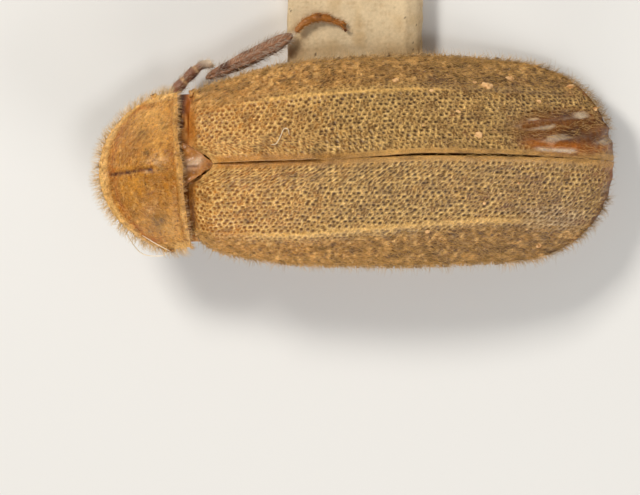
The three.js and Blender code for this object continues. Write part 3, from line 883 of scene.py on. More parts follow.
@dataclass
class WingCase:
    """One hard fore wing: a domed shell with dense pits, a side rib and a hairy margin."""

    side: Side
    base: float = -2.08
    side_end: float = 1.8
    round_length: float = 1.43
    slope: float = 0.42
    thickness: float = 0.06
    seam_opens: float = -0.41
    columns: int = 420
    rows: int = 104
    pit_step: float = 0.07
    pit_row: float = 0.062
    pit_jitter: float = 0.42
    pit_radius: float = 0.019
    pit_depth: float = 0.014
    face_hairs: int = 6600
    rim_hairs: int = 1500
    seam: Stations = ((-2.03, 1.92), (-1.75, 2.07), (-1.4, 2.12), (-0.9, 2.13), (-0.3, 2.11),
                      (0.65, 1.985), (1.61, 1.79), (2.1, 1.575), (2.575, 1.32), (3.05, 0.965),
                      (3.23, 0.66))
    wander: Stations = ((-2.08, -0.1), (-1.74, -0.094), (-0.4, -0.05), (0.3, -0.005),
                        (0.94, 0.033), (3.23, 0.033))

    @property
    def form(self) -> CaseForm:
        """What sets this case apart from the other."""
        return CASE_FORMS[self.side]

    def wide(self, x: Array) -> Array:
        """Gives the full width at a length along the insect."""
        return through(self.form.width)(x)

    def past_rib(self, x: Array, share: Array) -> Array:
        """Gives how far a share of the width lies beyond the rib."""
        return share - through(self.form.rib)(x)

    def height(self, x: Array, out: Array) -> Array:
        """Gives the height of the shell.

        Args:
            x: the length along the insect.
            out: the distance from the seam.

        Returns:
            Heights in the insect's own frame, in mm.
        """
        wide = self.wide(x)
        share = out / wide
        drop = self.slope * out + (through(self.form.fall)(x) - self.slope * wide) * share ** 2
        rib = self.form.rib_height * bump(self.past_rib(x, share), 0, 0.045)
        rib = rib * rise(x, -1.9, -1.4) * rise(-x, -2.7, -2.1)
        shoulder = 0.05 * bump(x, -1.75, 0.25) * bump(share, 0.62, 0.22)
        return through(self.seam)(x) - drop + rib + shoulder + 0.03 * bump(share, 1, 0.12)

    def crest(self, x: Array, out: Array) -> Array:
        """Gives the raised edge along the closed part of the seam."""
        bead = self.form.crest_height * rise(-x, -self.seam_opens - 0.05, -self.seam_opens + 0.12)
        return bead * rise(x, -2.0, -1.55) * bump(out, 0.1, 0.18)

    def start(self, share: Array) -> Array:
        """Gives the length at which the case starts, cut back beside the scutellum."""
        return self.base + 0.3 * (1 - rise(share, 0, 0.3)) + 0.04 * share ** 4

    def rim(self, x: Array) -> Array:
        """Gives the distance from the seam to the rim, round the blunt end."""
        past = np.clip((x - self.side_end) / self.round_length, 0, 1)
        return self.wide(x) * np.sqrt(1 - past ** 2.22)

    def lay(self, u: Array, v: Array) -> tuple[Array, Array, Array]:
        """Places the shell's upper face.

        Args:
            u: the share along it, from the base.
            v: the share across it, from the seam.

        Returns:
            Points of the row frame in mm, the distance from the seam and its share.
        """
        share = np.sin(v * math.pi / 2)
        end = self.side_end + self.round_length * (1 - share ** 2) ** 0.45
        base = self.start(share)
        x = base + (end - base) * u
        seam = 0.0005 + 0.018 * rise(x, self.seam_opens, 0.9) - 0.013 * rise(x, 1.8, 3.1)
        out = seam + (self.wide(x) - seam) * share
        z = self.height(x, out) + self.crest(x, out)
        z = z + 0.012 * bump(out, 0.05, 0.03) - 0.07 * (1 - rise(u, 0, 0.022)) ** 2
        wander = through(self.wander)(x) * (1 - share)
        return to_row(x, self.side.value * out + wander, z), out, share

    def pits(self, points: Array) -> tuple[Array, Array]:
        """Spreads the pits in loose staggered rows.

        Args:
            points: the shell's points in mm, in the order of the grid.

        Returns:
            The distance from each point to the nearest pit's middle, in mm, and a random
            number of that pit.
        """
        shape = (self.rows + 1, self.columns + 1)
        net = points.reshape(*shape, 3)
        step = np.linalg.norm(np.diff(net, axis=1), axis=2)
        along = np.concatenate([np.zeros((shape[0], 1)), np.cumsum(step, axis=1)], axis=1)
        along = along.mean(axis=0)[None, :] + np.zeros(shape)
        step = np.linalg.norm(np.diff(net, axis=0), axis=2)
        across = np.concatenate([np.zeros((1, shape[1])), np.cumsum(step, axis=0)], axis=0)
        s, t = along.ravel(), across.ravel()
        row = np.floor(t / self.pit_row).astype(int)
        nearest = np.full(len(s), 9.0)
        chance = np.zeros(len(s))
        for dr, dc in itertools.product((-1, 0, 1), (-1, 0, 1)):
            r = row + dr
            shift = 0.5 * (r % 2)
            c = np.floor(s / self.pit_step - shift).astype(int) + dc
            cells = np.stack([r, c], 1)
            js, jt = scatter(cells, 11) - 0.5, scatter(cells, 12) - 0.5
            ds = s - (c + shift + 0.5 + self.pit_jitter * js) * self.pit_step
            dt = t - (r + 0.5 + self.pit_jitter * jt) * self.pit_row
            d = np.hypot(ds, dt)
            closer = d < nearest
            nearest = np.where(closer, d, nearest)
            chance = np.where(closer, scatter(cells, 13), chance)
        return nearest, chance

    def build(self) -> Piece:
        """Makes the shell and its hairs.

        Returns:
            The shell.
        """
        left = self.side is Side.LEFT
        piece, u, v = grid(f"wing_case_{self.side.label}", self.columns, self.rows, flip_v=left)
        points, out, share = self.lay(u, v)
        x = points[:, 0]
        order = np.lexsort((u, v))
        near, chance = np.empty(len(x)), np.empty(len(x))
        near[order], chance[order] = self.pits(points[order])
        move_to(piece, points)
        facing = normals(piece)
        past = self.past_rib(x, share)
        flank = rise(past, 0.02, 0.1)
        smooth = self._smooth_patch(x, share)
        strong = rise(out, 0.05, 0.1) * (1 - 0.55 * flank) * (1 - 0.6 * smooth)
        strong = strong * rise(-u, -1.0, -0.985)
        strong = strong * (1 - 0.5 * bump(past, 0, 0.03)) * rise(x, -2.07, -1.93)
        radius = self.pit_radius * (0.72 + 0.66 * chance)
        pit = np.exp(-(near / radius) ** 2 * 1.1) * strong
        ring = np.exp(-((near - radius * 1.55) / (0.45 * radius)) ** 2) * strong
        lift = 0.006 * ring - self.pit_depth * pit + 0.007 * rough_noise(points, 0.3, 3)
        lift += noise(points, 0.03, 5) * (0.003 + 0.005 * flank)
        lift += 0.004 * noise(points, 0.06, 6) * flank
        lift += smooth * 0.025 * np.sin(points[:, 1] * 30 + 3 * noise(points, 0.6, 8))
        lift += smooth * 0.008 * rough_noise(points, 0.1, 9)
        lift_skin(piece, points, facing, lift)
        skin = CaseSkin(points, out, share, flank, smooth, pit, ring * (0.6 + 0.7 * chance))
        tint, polish = self._tint(skin)
        lay_tint(piece, tint, polish)
        self._hairs(u, v, share, Roots(points, facing, points, unwrapped(u, v), tint))
        return settle_sheet(piece, self.thickness, CASE_SHELL, [f"elytron_{self.side.label}"])

    def _smooth_patch(self, x: Array, share: Array) -> Array:
        """Gives the worn glossy place near the right tip, from 0 to 1."""
        if self.side is Side.LEFT:
            return 0.25 * rise(x, 2.9, 3.2)
        return 1 - rise(np.hypot((x - 2.62) / 0.72, (share - 0.26) / 0.27), 0.6, 1.15)

    def _tint(self, skin: CaseSkin) -> tuple[Array, Array]:
        """Colours the shell from ochre at its base to a greyer brown at its tip.

        Args:
            skin: what the tint goes by.

        Returns:
            A shade and a polish for each point.
        """
        left = self.side is Side.LEFT
        points, out, share, flank = skin.points, skin.out, skin.share, skin.flank
        smooth, pit, ring = skin.smooth, skin.pit, skin.ring
        x = points[:, 0]
        reach = self.form.rib_reach
        rib = bump(self.past_rib(x, share), 0, self.form.rib_pale)
        rib = rib * rise(x, -1.7, -1.0) * rise(-x, -reach - 0.6, -reach)
        strip = 1 - rise(out, 0.06, 0.12)
        granule = noise(points, 0.045, 25) + 0.6 * noise(points, 0.022, 27)
        collar = (1 - rise(x - self.start(share), 0.035, 0.085)) * (1 - rise(share, 0.3, 0.42))
        if left:
            # A shiny place near the left tip: a darker ground, and pale rings on its pits that
            # are painted highlights
            shiny = oval(x, out, (2.5, 0.74), (0.42, 0.17))
            marks = (((66, 32, 16), 0.6 * shiny * (1 - flank)),
                     ((240, 208, 160), 0.8 * shiny * ring))
            worn = 0.7 * rise(x, 1.4, 2.4) * (1 - flank)
        else:
            # A white streak by the seam at the worn place is a painted highlight; the
            # purple-brown oval is a stain
            painted_highlight_streak = bump(out, 0.1, 0.022) * rise(x, 2.2, 2.35) * rise(-x, -2.85, -2.7)
            marks = (((66, 34, 30), 0.8 * oval(x, share, (1.07, 0.74), (0.2, 0.05))),
                     ((250, 236, 212),
                      0.8 * painted_highlight_streak * spots(points, (0.3, 0.04, 0.5), 35, -0.5, 0.2)))
            worn = 0.3 * rise(x, 0.5, 2.0)
        tint = coated(
            (172, 107, 31),
            ((118, 78, 28), rise(x, -1.7, 0.3)),
            (self.form.far_shade, rise(x, 0.2, 2.4)),
            ((124, 92, 48), 0.45 * clouds(points, 0.5, 21, -0.1, 0.9) * rise(x, -1.4, 0.5)),
            ((196, 140, 62), 0.4 * clouds(points, 0.24, 23, 0.2, 1.0)),
            ((122, 58, 32), 0.6 * clouds(points, 0.16, 22, 0.3, 1.0) * rise(x, 0.2, 2.0)),
            # The flank, its pale edge, the rib, the seam's strip and the rim
            (coated((172, 114, 46), ((124, 80, 40), rise(x, -0.4, 1.4))), 0.7 * flank),
            ((196, 148, 84), 0.5 * flank * bump(share, 0.97, 0.05)),
            ((226, 176, 98), 0.95 * rib),
            ((204, 156, 88), (0.35 + 0.45 * rise(x, -0.3, 0.6)) * strip),
            ((206, 156, 92), 0.6 * rise(share, 0.985, 1.0)),
            # The pits, darkened partly as painted shade in their hollows, their rings, paled
            # partly as painted highlights on the rims, and the granules of the flank
            (coated((104, 58, 16), ((34, 16, 4), rise(x, -1.9, -0.3))), 0.92 * pit),
            ((238, 196, 122), 0.8 * ring),
            ((232, 184, 112), 0.8 * rise(granule, 0.1, 0.7) * flank),
            ((60, 32, 10), 0.75 * rise(-granule, 0.1, 0.7) * flank),
            ((84, 52, 22), 0.45 * spots(points, (0.12, 0.05, 0.1), 28, 0.1, 0.8)),
            # The worn place near the tip, with dark streaks, pale streaks that are painted
            # highlights, and an amber band by the seam
            ((128, 72, 26), 0.75 * smooth),
            ((56, 26, 10), 0.75 * smooth * spots(points, (0.4, 0.07, 0.5), 31, 0.0, 0.7)),
            ((226, 206, 176), 0.7 * smooth * spots(points, (0.2, 0.05, 0.5), 33, 0.35, 0.8)),
            ((186, 104, 30), 0.8 * smooth * bump(out, 0.12, 0.07)),
            # The collar beside the scutellum, the base, the marks of this side and dirt
            ((222, 174, 106), 0.7 * collar),
            ((182, 112, 44), 0.6 * rise(-x, 1.96, 2.07)),
            *marks,
            ((60, 34, 18), 0.8 * spots(points, 0.04, 26, 0.88, 0.94)))
        return tint, 0.95 * smooth + 0.5 * ring + 0.4 * ring * worn + 0.3 * pit + 0.2 * strip

    def _hairs(self, u: Array, v: Array, share: Array, roots: Roots) -> None:
        """Grows the short backward hairs of the face and the fringe of the margin.

        Args:
            u: the share along the shell, from the base.
            v: the share across it, from the seam.
            share: the share of the width.
            roots: all points of the shell; their lie is set here.
        """
        hand = self.side.value
        draw = np.random.default_rng(40 + hand)
        x = roots.points[:, 0]
        past = self.past_rib(x, share)
        outer = past > 0
        roots.lie = np.stack([np.ones(len(u)), 0.35 * hand * outer, -0.1 + 0 * u], 1)
        weight = 0.3 + 0.7 * rise(x, -1.0, 2.5) + 1.8 * outer
        step = np.where(share < 0.999, np.sqrt(np.maximum(1 - share ** 2, 0)), 0)
        weight = weight * (0.15 + step) * (1 - 0.85 * bump(past, 0, 0.05))
        chosen = draw.choice(len(u), self.face_hairs, replace=False, p=weight / weight.sum())
        coat = Coat(f"wing_case_hairs_{self.side.label}", 50 + hand)
        coat.grow(roots.some(chosen), HairStyle(0.088, 0.003, 0.66, (238, 190, 112)))
        line = np.concatenate([in_order(v > 0.999, u), in_order((u > 0.999) & (v > 0.2), -v)])
        edge = along_rim(roots, line, self.rim_hairs, draw)
        edge.lie = np.tile(turned((0.75, hand * 0.75, -0.25)), (len(edge.points), 1))
        edge.lie[edge.points[:, 0] > 2.4] = turned((1.0, hand * 0.25, -0.25))
        edge.facing = unit(0.45 * edge.facing + edge.lie)
        coat.grow(edge, HairStyle(0.135, 0.0032, 0.35, (230, 196, 144), curl=0.35))
        coat.finish()


# Neck shield

@dataclass
class ShieldSkin:
    """What the tint of the neck shield goes by, one value for each point."""

    points: Array
    u: Array
    a: Array
    b: Array
    out: Array

    @property
    def edge(self) -> Array:
        """The distance from the front and side rim, as a share."""
        return np.minimum(1 - self.u, (1 - np.abs(self.out)) * 1.1)

    @property
    def pores(self) -> Array:
        """The fine pores of the shield."""
        return spots(self.points, 0.026, 61, 0.1, 0.8)


@dataclass
class NeckShield:
    """The hood over the head: a half-round plate with a rolled rim and a hind bead."""

    rear: float = -2.17
    middle: float = -0.165
    half_width: float = 0.97
    length: float = 1.03
    side_length: float = 0.1
    thickness: float = 0.05
    yaw: float = 0.09
    yaw_centre: float = 0.5
    twist: float = 0.2
    columns: int = 170
    rows: int = 230
    face_hairs: int = 3000
    rim_hairs: int = 1150
    rear_hairs: int = 260
    ridge: Stations = ((-1.1, 1.34), (-1.02, 1.4), (-0.87, 1.54), (-0.67, 1.76),
                       (-0.49, 1.89), (-0.27, 1.955), (-0.05, 1.985), (0.08, 1.96))
    left_fall: Stations = ((-1.1, 1.0), (-0.5, 1.07), (-0.3, 1.06), (-0.12, 0.95), (0.08, 0.78))
    right_fall: Stations = ((-1.1, 0.98), (-0.5, 1.03), (-0.28, 0.97), (-0.1, 0.76),
                            (0.08, 0.64))
    mottles: tuple[Triple, ...] = ((-0.4, 0.17, 0.09), (-0.34, -0.62, 0.1), (-0.28, 0.02, 0.06),
                                   (-0.18, 0.55, 0.06), (-0.45, 0.48, 0.07))

    def height(self, a: Array, b: Array) -> Array:
        """Gives the height of the shield.

        Args:
            a: the length from its hind edge, forward below 0.
            b: the offset from its middle, to the right above 0.

        Returns:
            Heights in the insect's own frame, in mm.
        """
        out = np.abs(b) / self.half_width
        lean = -self.twist * b * rise(-a, 0.4, 0.9)
        groove = -0.02 * bump(b, 0, 0.03) * rise(-a, 0.25, 0.4) * rise(a, -0.9, -0.8)
        fall = np.where(b < 0, through(self.left_fall)(a), through(self.right_fall)(a))
        return through(self.ridge)(a) - fall * out ** 1.85 + lean + groove

    def lay(self, u: Array, v: Array) -> ShieldSkin:
        """Places the shield's upper face.

        Args:
            u: the share from the rear edge to the front edge.
            v: the share across, from the left.

        Returns:
            Points of the row frame, with length, offset and share of the half width.
        """
        out = np.sin((v * 2 - 1) * math.pi / 2) * 0.995
        b = out * self.half_width
        front = -self.side_length - (self.length - self.side_length) * (1 - out ** 2) ** 0.56
        rear = 0.03 * rise(np.abs(out), 0.35, 0.95) + 0.02 * bump(b, 0, 0.15)
        a = rear + (front - rear) * u
        rim = np.maximum(rise(u, 0.86, 1), rise(np.abs(out), 0.9, 1))
        bead = 0.045 * bump(u, 0.06, 0.07) * (1 - rise(np.abs(out), 0.75, 0.97))
        z = self.height(a, b) + 0.03 * rim + bead
        z = z - 0.13 * rise(out, 0.35, 0.8) * rise(-a, 0.35, 0.7)
        c, s = math.cos(self.yaw), math.sin(self.yaw)
        x = a + self.yaw_centre
        own_x = self.rear - self.yaw_centre + x * c - b * s
        own_y = self.middle + x * s + b * c
        return ShieldSkin(to_row(own_x, own_y, z), u, a, b, out)

    def build(self) -> Piece:
        """Makes the shield and its hairs.

        Returns:
            The shield.
        """
        piece, u, v = grid("neck_shield", self.columns, self.rows, flip_u=True)
        skin = self.lay(u, v)
        points, a, b, out = skin.points, skin.a, skin.b, skin.out
        move_to(piece, points)
        facing = normals(piece)
        rim = np.maximum(rise(u, 0.84, 0.95), rise(np.abs(out), 0.86, 0.95))
        dents = -0.025 * bump(np.hypot(a + 0.35, b - 0.42), 0, 0.12)
        dents += -0.025 * bump(np.hypot(a + 0.35, b + 0.42), 0, 0.14)
        dents += -0.03 * bump(a + 0.1, 0, 0.04) * rise(np.abs(b), 0.1, 0.3)
        step = bump(skin.edge, 0.13, 0.04)
        lift = 0.012 * rough_noise(points, 0.28, 62) * (1 - 0.7 * rim) + dents - 0.008 * step
        lift *= 1 - rise(np.abs(out), 0.78, 0.92)
        lift += 0.003 * noise(points, 0.05, 63) - 0.005 * skin.pores
        lift_skin(piece, points, facing, lift)
        tint = self._tint(skin)
        lay_tint(piece, tint, 0.3 * rim + 0.2 * rise(-u, -0.13, -0.03))
        self._hairs(u, v, out, Roots(points, facing, points, unwrapped(u, v), tint))
        return settle_sheet(piece, self.thickness, HOOD_SHELL, ["pronotum"])

    def _tint(self, skin: ShieldSkin) -> Array:
        """Colours the shield: orange ochre, painted highlights, paler rims, dull patches, a dark
        middle line.

        Args:
            skin: what the tint goes by.

        Returns:
            A shade for each point.
        """
        points, u, a, b, edge = skin.points, skin.u, skin.a, skin.b, skin.edge
        # Two pale patches near the rear, one on each side, are painted highlights
        light = bump(np.hypot(a + 0.3, b - 0.6), 0, 0.3)
        light = light + bump(np.hypot(a + 0.1, b + 0.72), 0, 0.2)
        mottle = 0.6 + 0.6 * noise(points, 0.05, 75)
        dull = [((88, 62, 24), 0.9 * bump(np.hypot(a - along, b - side), 0, reach) * mottle)
                for along, side, reach in self.mottles]
        line = bump(b, 0.0, 0.024) * rise(-a, 0.34, 0.38) * rise(a, -0.94, -0.86)
        return coated(
            (182, 120, 36),
            ((208, 148, 62), 0.7 * clouds(points, 0.3, 71, -0.2, 0.9)),
            ((150, 88, 20), 0.5 * rise(-noise(points, 0.45, 78), 0.0, 0.8)),
            # Painted highlights: the pale patches near the rear
            ((232, 176, 92), 0.6 * light),
            # The pale rim, the darker step inside it and the hind bead
            ((230, 184, 112), 0.9 * (1 - rise(edge, 0.06, 0.12))),
            ((164, 84, 14), 0.7 * bump(edge, 0.16, 0.045) * rise(-a, 0.2, 0.45)),
            ((214, 162, 88), 0.8 * (1 - rise(u, 0.06, 0.1))),
            ((160, 92, 30), 0.4 * bump(u, 0.12, 0.03)),
            # Specks, pores, glints, wear, dull patches and the middle line
            ((52, 32, 18), 0.9 * spots(points, 0.05, 74, 0.84, 0.9)),
            ((122, 64, 16), 0.7 * skin.pores),
            ((232, 178, 96), 0.55 * spots(points, 0.028, 76, 0.15, 0.75)),
            ((140, 84, 26), 0.45 * spots(points, 0.07, 77, 0.1, 0.8)),
            *dull,
            ((66, 14, 6), line * (0.9 + 0.5 * noise(points, 0.04, 79))))

    def _hairs(self, u: Array, v: Array, out: Array, roots: Roots) -> None:
        """Grows the short hairs of the shield and the dense fringe round its rim.

        Args:
            u: the share from the rear edge to the front edge.
            v: the share across, from the left.
            out: the share of the half width.
            roots: all points of the shield; their lie is set here.
        """
        draw = np.random.default_rng(81)
        middle = roots.points.mean(axis=0)
        away = roots.points - middle
        roots.lie = np.stack([0.6 + 0 * u, 0.35 * away[:, 1], -0.2 + 0 * u], 1)
        span = np.sqrt(np.maximum(1 - out ** 2, 0))
        spine = bump(out, 0.0, 0.05) * rise(-u, -0.9, -0.85) * rise(u, 0.3, 0.35)
        weight = (0.03 + span) * (0.1 + span) * (1 - 0.95 * spine)
        chosen = draw.choice(len(u), self.face_hairs, replace=False, p=weight / weight.sum())
        coat = Coat("neck_shield_hairs", 82)
        coat.grow(roots.some(chosen), HairStyle(0.062, 0.003, 0.66, (234, 186, 110)))
        line = np.concatenate([in_order((v < 0.001) & (u > 0.3), u), in_order(u > 0.999, v),
                               in_order((v > 0.999) & (u > 0.3), -u)])
        edge = along_rim(roots, line, self.rim_hairs, draw)
        outward = unit(edge.points - (middle + np.array([0.25, 0.0, -0.1])))
        edge.lie = outward + np.array([0.35, 0, -0.25])
        edge.facing = unit(0.35 * edge.facing + outward)
        coat.grow(edge, HairStyle(0.14, 0.0034, 0.3, (236, 208, 160), spread=0.3, curl=0.3))
        edge = roots.some(draw.choice(np.flatnonzero(u < 0.02), self.rear_hairs, replace=True))
        edge.lie = np.tile(np.array([1.0, 0, 0.1]), (self.rear_hairs, 1))
        coat.grow(edge, HairStyle(0.06, 0.003, 0.6, (230, 196, 148)))
        coat.finish()


# Flight wings

@dataclass
class FlightWing:
    """One folded flight wing: a pleated membrane that closes its case from below."""

    case: WingCase
    thickness: float = 0.03
    pleats: int = 4
    pleat_height: float = 0.04
    columns: int = 210
    rows: int = 96
    fold: Stations = ((-0.42, 1.55), (0.08, 1.4), (0.64, 1.22), (0.97, 1.11), (1.71, 0.93),
                      (2.3, 0.6), (2.7, 0.32), (3.0, 0.22))

    @property
    def left(self) -> bool:
        """Whether this is the left wing."""
        return self.case.side is Side.LEFT

    def lay(self, u: Array, v: Array) -> Array:
        """Places the membrane's upper face.

        Args:
            u: the share along it, from its base.
            v: the share across it, from its outer edge.

        Returns:
            Points of the row frame in mm.
        """
        far = 3.02 - 0.02 * v if self.left else 2.86 + 0.2 * v
        x = -0.2 + (far + 0.2) * u
        spread = rise(x, -0.3, 0.7)
        rim = self.case.rim(x)
        outer = 0.8 + (rim - 0.1 - 0.8) * spread
        inner = 0.45 + (0.006 - 0.45) * spread
        out = outer + (inner - outer) * v
        roof = self.case.height(x, out) - 0.22
        tuck = 0 * x if self.left else 0.28 * rise(x, 2.35, 2.75) * bump(v, 0.3, 0.35)
        level = self.case.height(x, rim) + (0.02 if self.left else 0.06)
        floor = level + (through(self.fold)(x) - level) * v ** 1.4
        pleat = self.pleat_height * np.sin(v * math.pi * self.pleats) * (1 - 0.4 * u)
        return to_row(x, self.case.side.value * out, np.minimum(floor + pleat, roof) - tuck)

    def build(self) -> Piece:
        """Makes the membrane with its veins and creases, and painted shade and light on its
        folds.

        Returns:
            The wing.
        """
        label = self.case.side.label
        piece, u, v = grid(f"flight_wing_{label}", self.columns, self.rows,
                           flip_v=not self.left)
        points = self.lay(u, v)
        move_to(piece, points)
        facing = normals(piece)
        vein = np.maximum(0, np.sin(v * math.pi * self.pleats * 2 + 0.6)) ** 6
        own = np.stack([points[:, 0], v, 0 * u], 1)
        crease = noise(own, (0.9, 0.05, 1), 91) + 0.5 * noise(own, (0.4, 0.014, 1), 92)
        crumple = rough_noise(points, 0.14, 93) * rise(u, 0.45, 0.9)
        broad = rough_noise(points, 0.42, 95) * rise(u, 0.25, 0.6)
        lift_skin(piece, points, facing,
                  -0.012 * vein + 0.008 * crease + 0.014 * crumple + 0.02 * broad)
        near = rise(u, 0.1, 0.3)
        tint = coated(
            (206, 150, 98),
            ((140, 88, 50), 0.8 * rise(crease, 0.1, 1.0)),
            ((232, 190, 144), 0.7 * rise(-crease, 0.2, 1.0)),
            ((218, 182, 150), 0.75 * bump(v, 0.16, 0.15) * rise(u, 0.35, 0.6)),
            # Painted shade: a dark band in the valley of one pleat
            ((92, 50, 24), 0.85 * bump(v, 0.36, 0.035) * near),
            ((220, 172, 120), 0.6 * bump(v, 0.44, 0.04) * near),
            ((124, 78, 46), 0.5 * vein),
            # Painted shade in the hollows of the broad crumples and painted light on their tops
            ((96, 58, 36), 0.55 * rise(-broad, 0.05, 0.6)),
            ((232, 196, 158), 0.5 * rise(broad, 0.15, 0.7)),
            ((206, 178, 138), 0.7 * clouds(points, 0.09, 94, 0.7, 1.1)))
        lay_tint(piece, tint, 0.4 + 0.3 * crease)
        return settle_sheet(piece, self.thickness, WING_SKIN, [f"hindwing_{label}"])


# Plates, limbs and the rest of the shell, refined from their solids

@dataclass(frozen=True)
class Fold:
    """A ridge or groove across a plate, seen from the left side of the row frame."""

    path: Stations
    height: float
    reach: float
    shade: Rgb
    amount: float = 0.7

    def near(self, points: Array) -> Array:
        """Gives 1 on the fold's line, falling to 0 at its reach, on both flanks.

        Args:
            points: places in the row frame in mm.

        Returns:
            A number from 0 to 1 for each point.
        """
        own = to_insect(points)
        x, w = own[:, 0], own[:, 2]
        best = np.full(len(x), 9.0)
        line = [(px, (pz - FLANK_RISE) / math.cos(ROLL)) for px, pz in self.path]
        for (x0, w0), (x1, w1) in zip(line, line[1:]):
            dx, dw = x1 - x0, w1 - w0
            t = np.clip(((x - x0) * dx + (w - w0) * dw) / (dx * dx + dw * dw), 0, 1)
            best = np.minimum(best, np.hypot(x - x0 - t * dx, w - w0 - t * dw))
        return np.exp(-(best / self.reach) ** 2) * rise(np.abs(own[:, 1]), 0.2, 0.4)


@dataclass
class Plate:
    """A piece of the shell refined from its solid: rounded, roughened, coloured and haired."""

    node: str
    finish: Finish
    shade: Rgb
    second: Rgb
    name: str = ""
    levels: int = 2
    voxel: float = 0.014
    rounds: int = 3
    rough: float = 0.006
    rough_size: float = 0.12
    shine: float = 0.2
    folds: tuple[Fold, ...] = ()
    hairs: int = 0
    style: HairStyle = HairStyle(0.07, 0.003, 0.5, (222, 190, 140))
    lie: Triple = (1.0, 0.0, -0.2)
    seed: int = 0
    grow: float = 0.0

    def __post_init__(self) -> None:
        """Names the piece after its solid where it has no name of its own."""
        self.name = self.name or f"{self.node}_skin"

    @property
    def nodes(self) -> tuple[str, ...]:
        """The solids that the piece stands for."""
        return (self.node,)

    def source(self) -> Piece:
        """Copies and refines the solid.

        Returns:
            The fine mesh that the piece is shaped from.
        """
        piece = copy_of(self.node, self.name)
        refine(piece, self.levels, self.voxel, self.rounds)
        return piece

    def shape(self, piece: Piece) -> Array:
        """Lifts and lowers the fine surface.

        Args:
            piece: the fine mesh in mm.

        Returns:
            The noise that was used, for each point.
        """
        points, facing = places(piece), normals(piece)
        lumps = rough_noise(points, self.rough_size, self.seed, 4)
        lift = self.rough * lumps + self.grow
        for fold in self.folds:
            lift = lift + fold.height * fold.near(points)
        lift_skin(piece, points, facing, lift)
        return lumps

    def tint(self, points: Array, lumps: Array) -> tuple[Array, Array]:
        """Colours the piece between its two shades and along its folds.

        Args:
            points: its points in mm.
            lumps: the noise of its surface.

        Returns:
            A shade and a polish for each point.
        """
        cloud = rough_noise(points, 0.2, self.seed + 5)
        shade = coated(self.shade, (self.second, rise(cloud + 0.3 * lumps, -0.5, 0.8)),
                       *self.fold_coats(points))
        return shade, self.shine * (1 + 0.6 * lumps)

    def fold_coats(self, points: Array) -> list[tuple[Rgb, Array]]:
        """Gives the coats of shade along the folds."""
        return [(fold.shade, fold.amount * fold.near(points)) for fold in self.folds]

    def build(self) -> Piece:
        """Makes the piece and its hairs.

        Returns:
            The piece.
        """
        piece = self.source()
        lumps = self.shape(piece)
        lay_tint(piece, *self.tint(places(piece), lumps))
        if self.hairs:
            coat = Coat(f"{self.name}_hairs", 300 + self.seed)
            coat.grow(surface_roots(piece, self.hairs, 400 + self.seed, self.lie), self.style)
            coat.finish()
        return settle(piece, self.finish, self.nodes)


@dataclass
class Limb(Plate):
    """A leg or feeler part, with ringed joints where it has them."""

    levels: int = 1
    voxel: float = 0.008
    rounds: int = 2
    start: Triple = (0.0, 0.0, 0.0)
    end: Triple = (1.0, 0.0, 0.0)
    joints: int = 0
    joint_shade: Rgb = (206, 166, 120)
    grooves: float = 0.0
    tip_shade: Rgb | None = None

    @property
    def way(self) -> Array:
        """The way from the limb's start to its end."""
        return np.array(self.end) - np.array(self.start)

    def shape(self, piece: Piece) -> Array:
        """Roughens the limb and cuts long grooves where it has them.

        Args:
            piece: the fine mesh in mm.

        Returns:
            The noise that was used, for each point.
        """
        lumps = super().shape(piece)
        if self.grooves:
            points, facing = places(piece), normals(piece)
            way = self.way / np.linalg.norm(self.way)
            side = np.cross(way, (0, 0, 1.0))
            side /= np.linalg.norm(side)
            angle = np.arctan2(facing @ np.cross(side, way), facing @ side)
            lift = self.grooves * np.cos(6 * angle + 2 * noise(points, 0.2, 3))
            lift_skin(piece, points, facing, lift)
        return lumps

    def tint(self, points: Array, lumps: Array) -> tuple[Array, Array]:
        """Colours the limb, with pale rings at its joints and a pale tip.

        Args:
            points: its points in mm.
            lumps: the noise of its surface.

        Returns:
            A shade and a polish for each point.
        """
        shade, polish = super().tint(points, lumps)
        share = (points - np.array(self.start)) @ self.way / (self.way @ self.way)
        if self.joints:
            within = (share * self.joints) % 1
            ring = np.exp(-(np.minimum(within, 1 - within) / 0.1) ** 2)
            shade = coated(shade, (self.joint_shade, 0.8 * ring))
        if self.tip_shade:
            shade = coated(shade, (self.tip_shade, rise(share, 0.85, 1.0)))
        return shade, polish


@dataclass
class Scutellum(Plate):
    """The thin clear flap between the bases of the wing cases, drawn out to their seam."""

    tip: float = -1.72
    shift: float = -0.09

    def shape(self, piece: Piece) -> Array:
        """Draws the flap out to a blunt point and folds it along its middle.

        Args:
            piece: the fine mesh in mm.

        Returns:
            The noise that was used, for each point.
        """
        x, y, z = to_insect(places(piece)).T
        share = (x - x.min()) / (x.max() - x.min())
        y = y * (1.2 - 0.95 * share) + self.shift
        z = z + (0.035 * share + 0.045 * np.abs(np.sin(y * 14)) * (1 - share))
        move_to(piece, to_row(x.min() + share * (self.tip - x.min()), y, z))
        return super().shape(piece)

    def tint(self, points: Array, lumps: Array) -> tuple[Array, Array]:
        """Colours the flap: ochre, with a whitish fold, partly painted highlight, on its front
        half.

        Args:
            points: its points in mm.
            lumps: the noise of its surface.

        Returns:
            A shade and a polish for each point.
        """
        shade, polish = super().tint(points, lumps)
        x, y, _ = to_insect(points).T
        # The whitish fold is partly a pale ridge and partly a painted highlight
        fold = bump(y - self.shift - 0.4 * (x + 2.05), 0.0, 0.07) * rise(-x, 1.84, 1.96)
        crease = bump(y - self.shift + 0.03, 0.0, 0.02) * rise(-x, 1.9, 2.0)
        shade = coated(shade, ((214, 188, 160), 0.6 * fold), ((84, 44, 30), 0.7 * crease))
        return shade, polish + 0.3 * fold


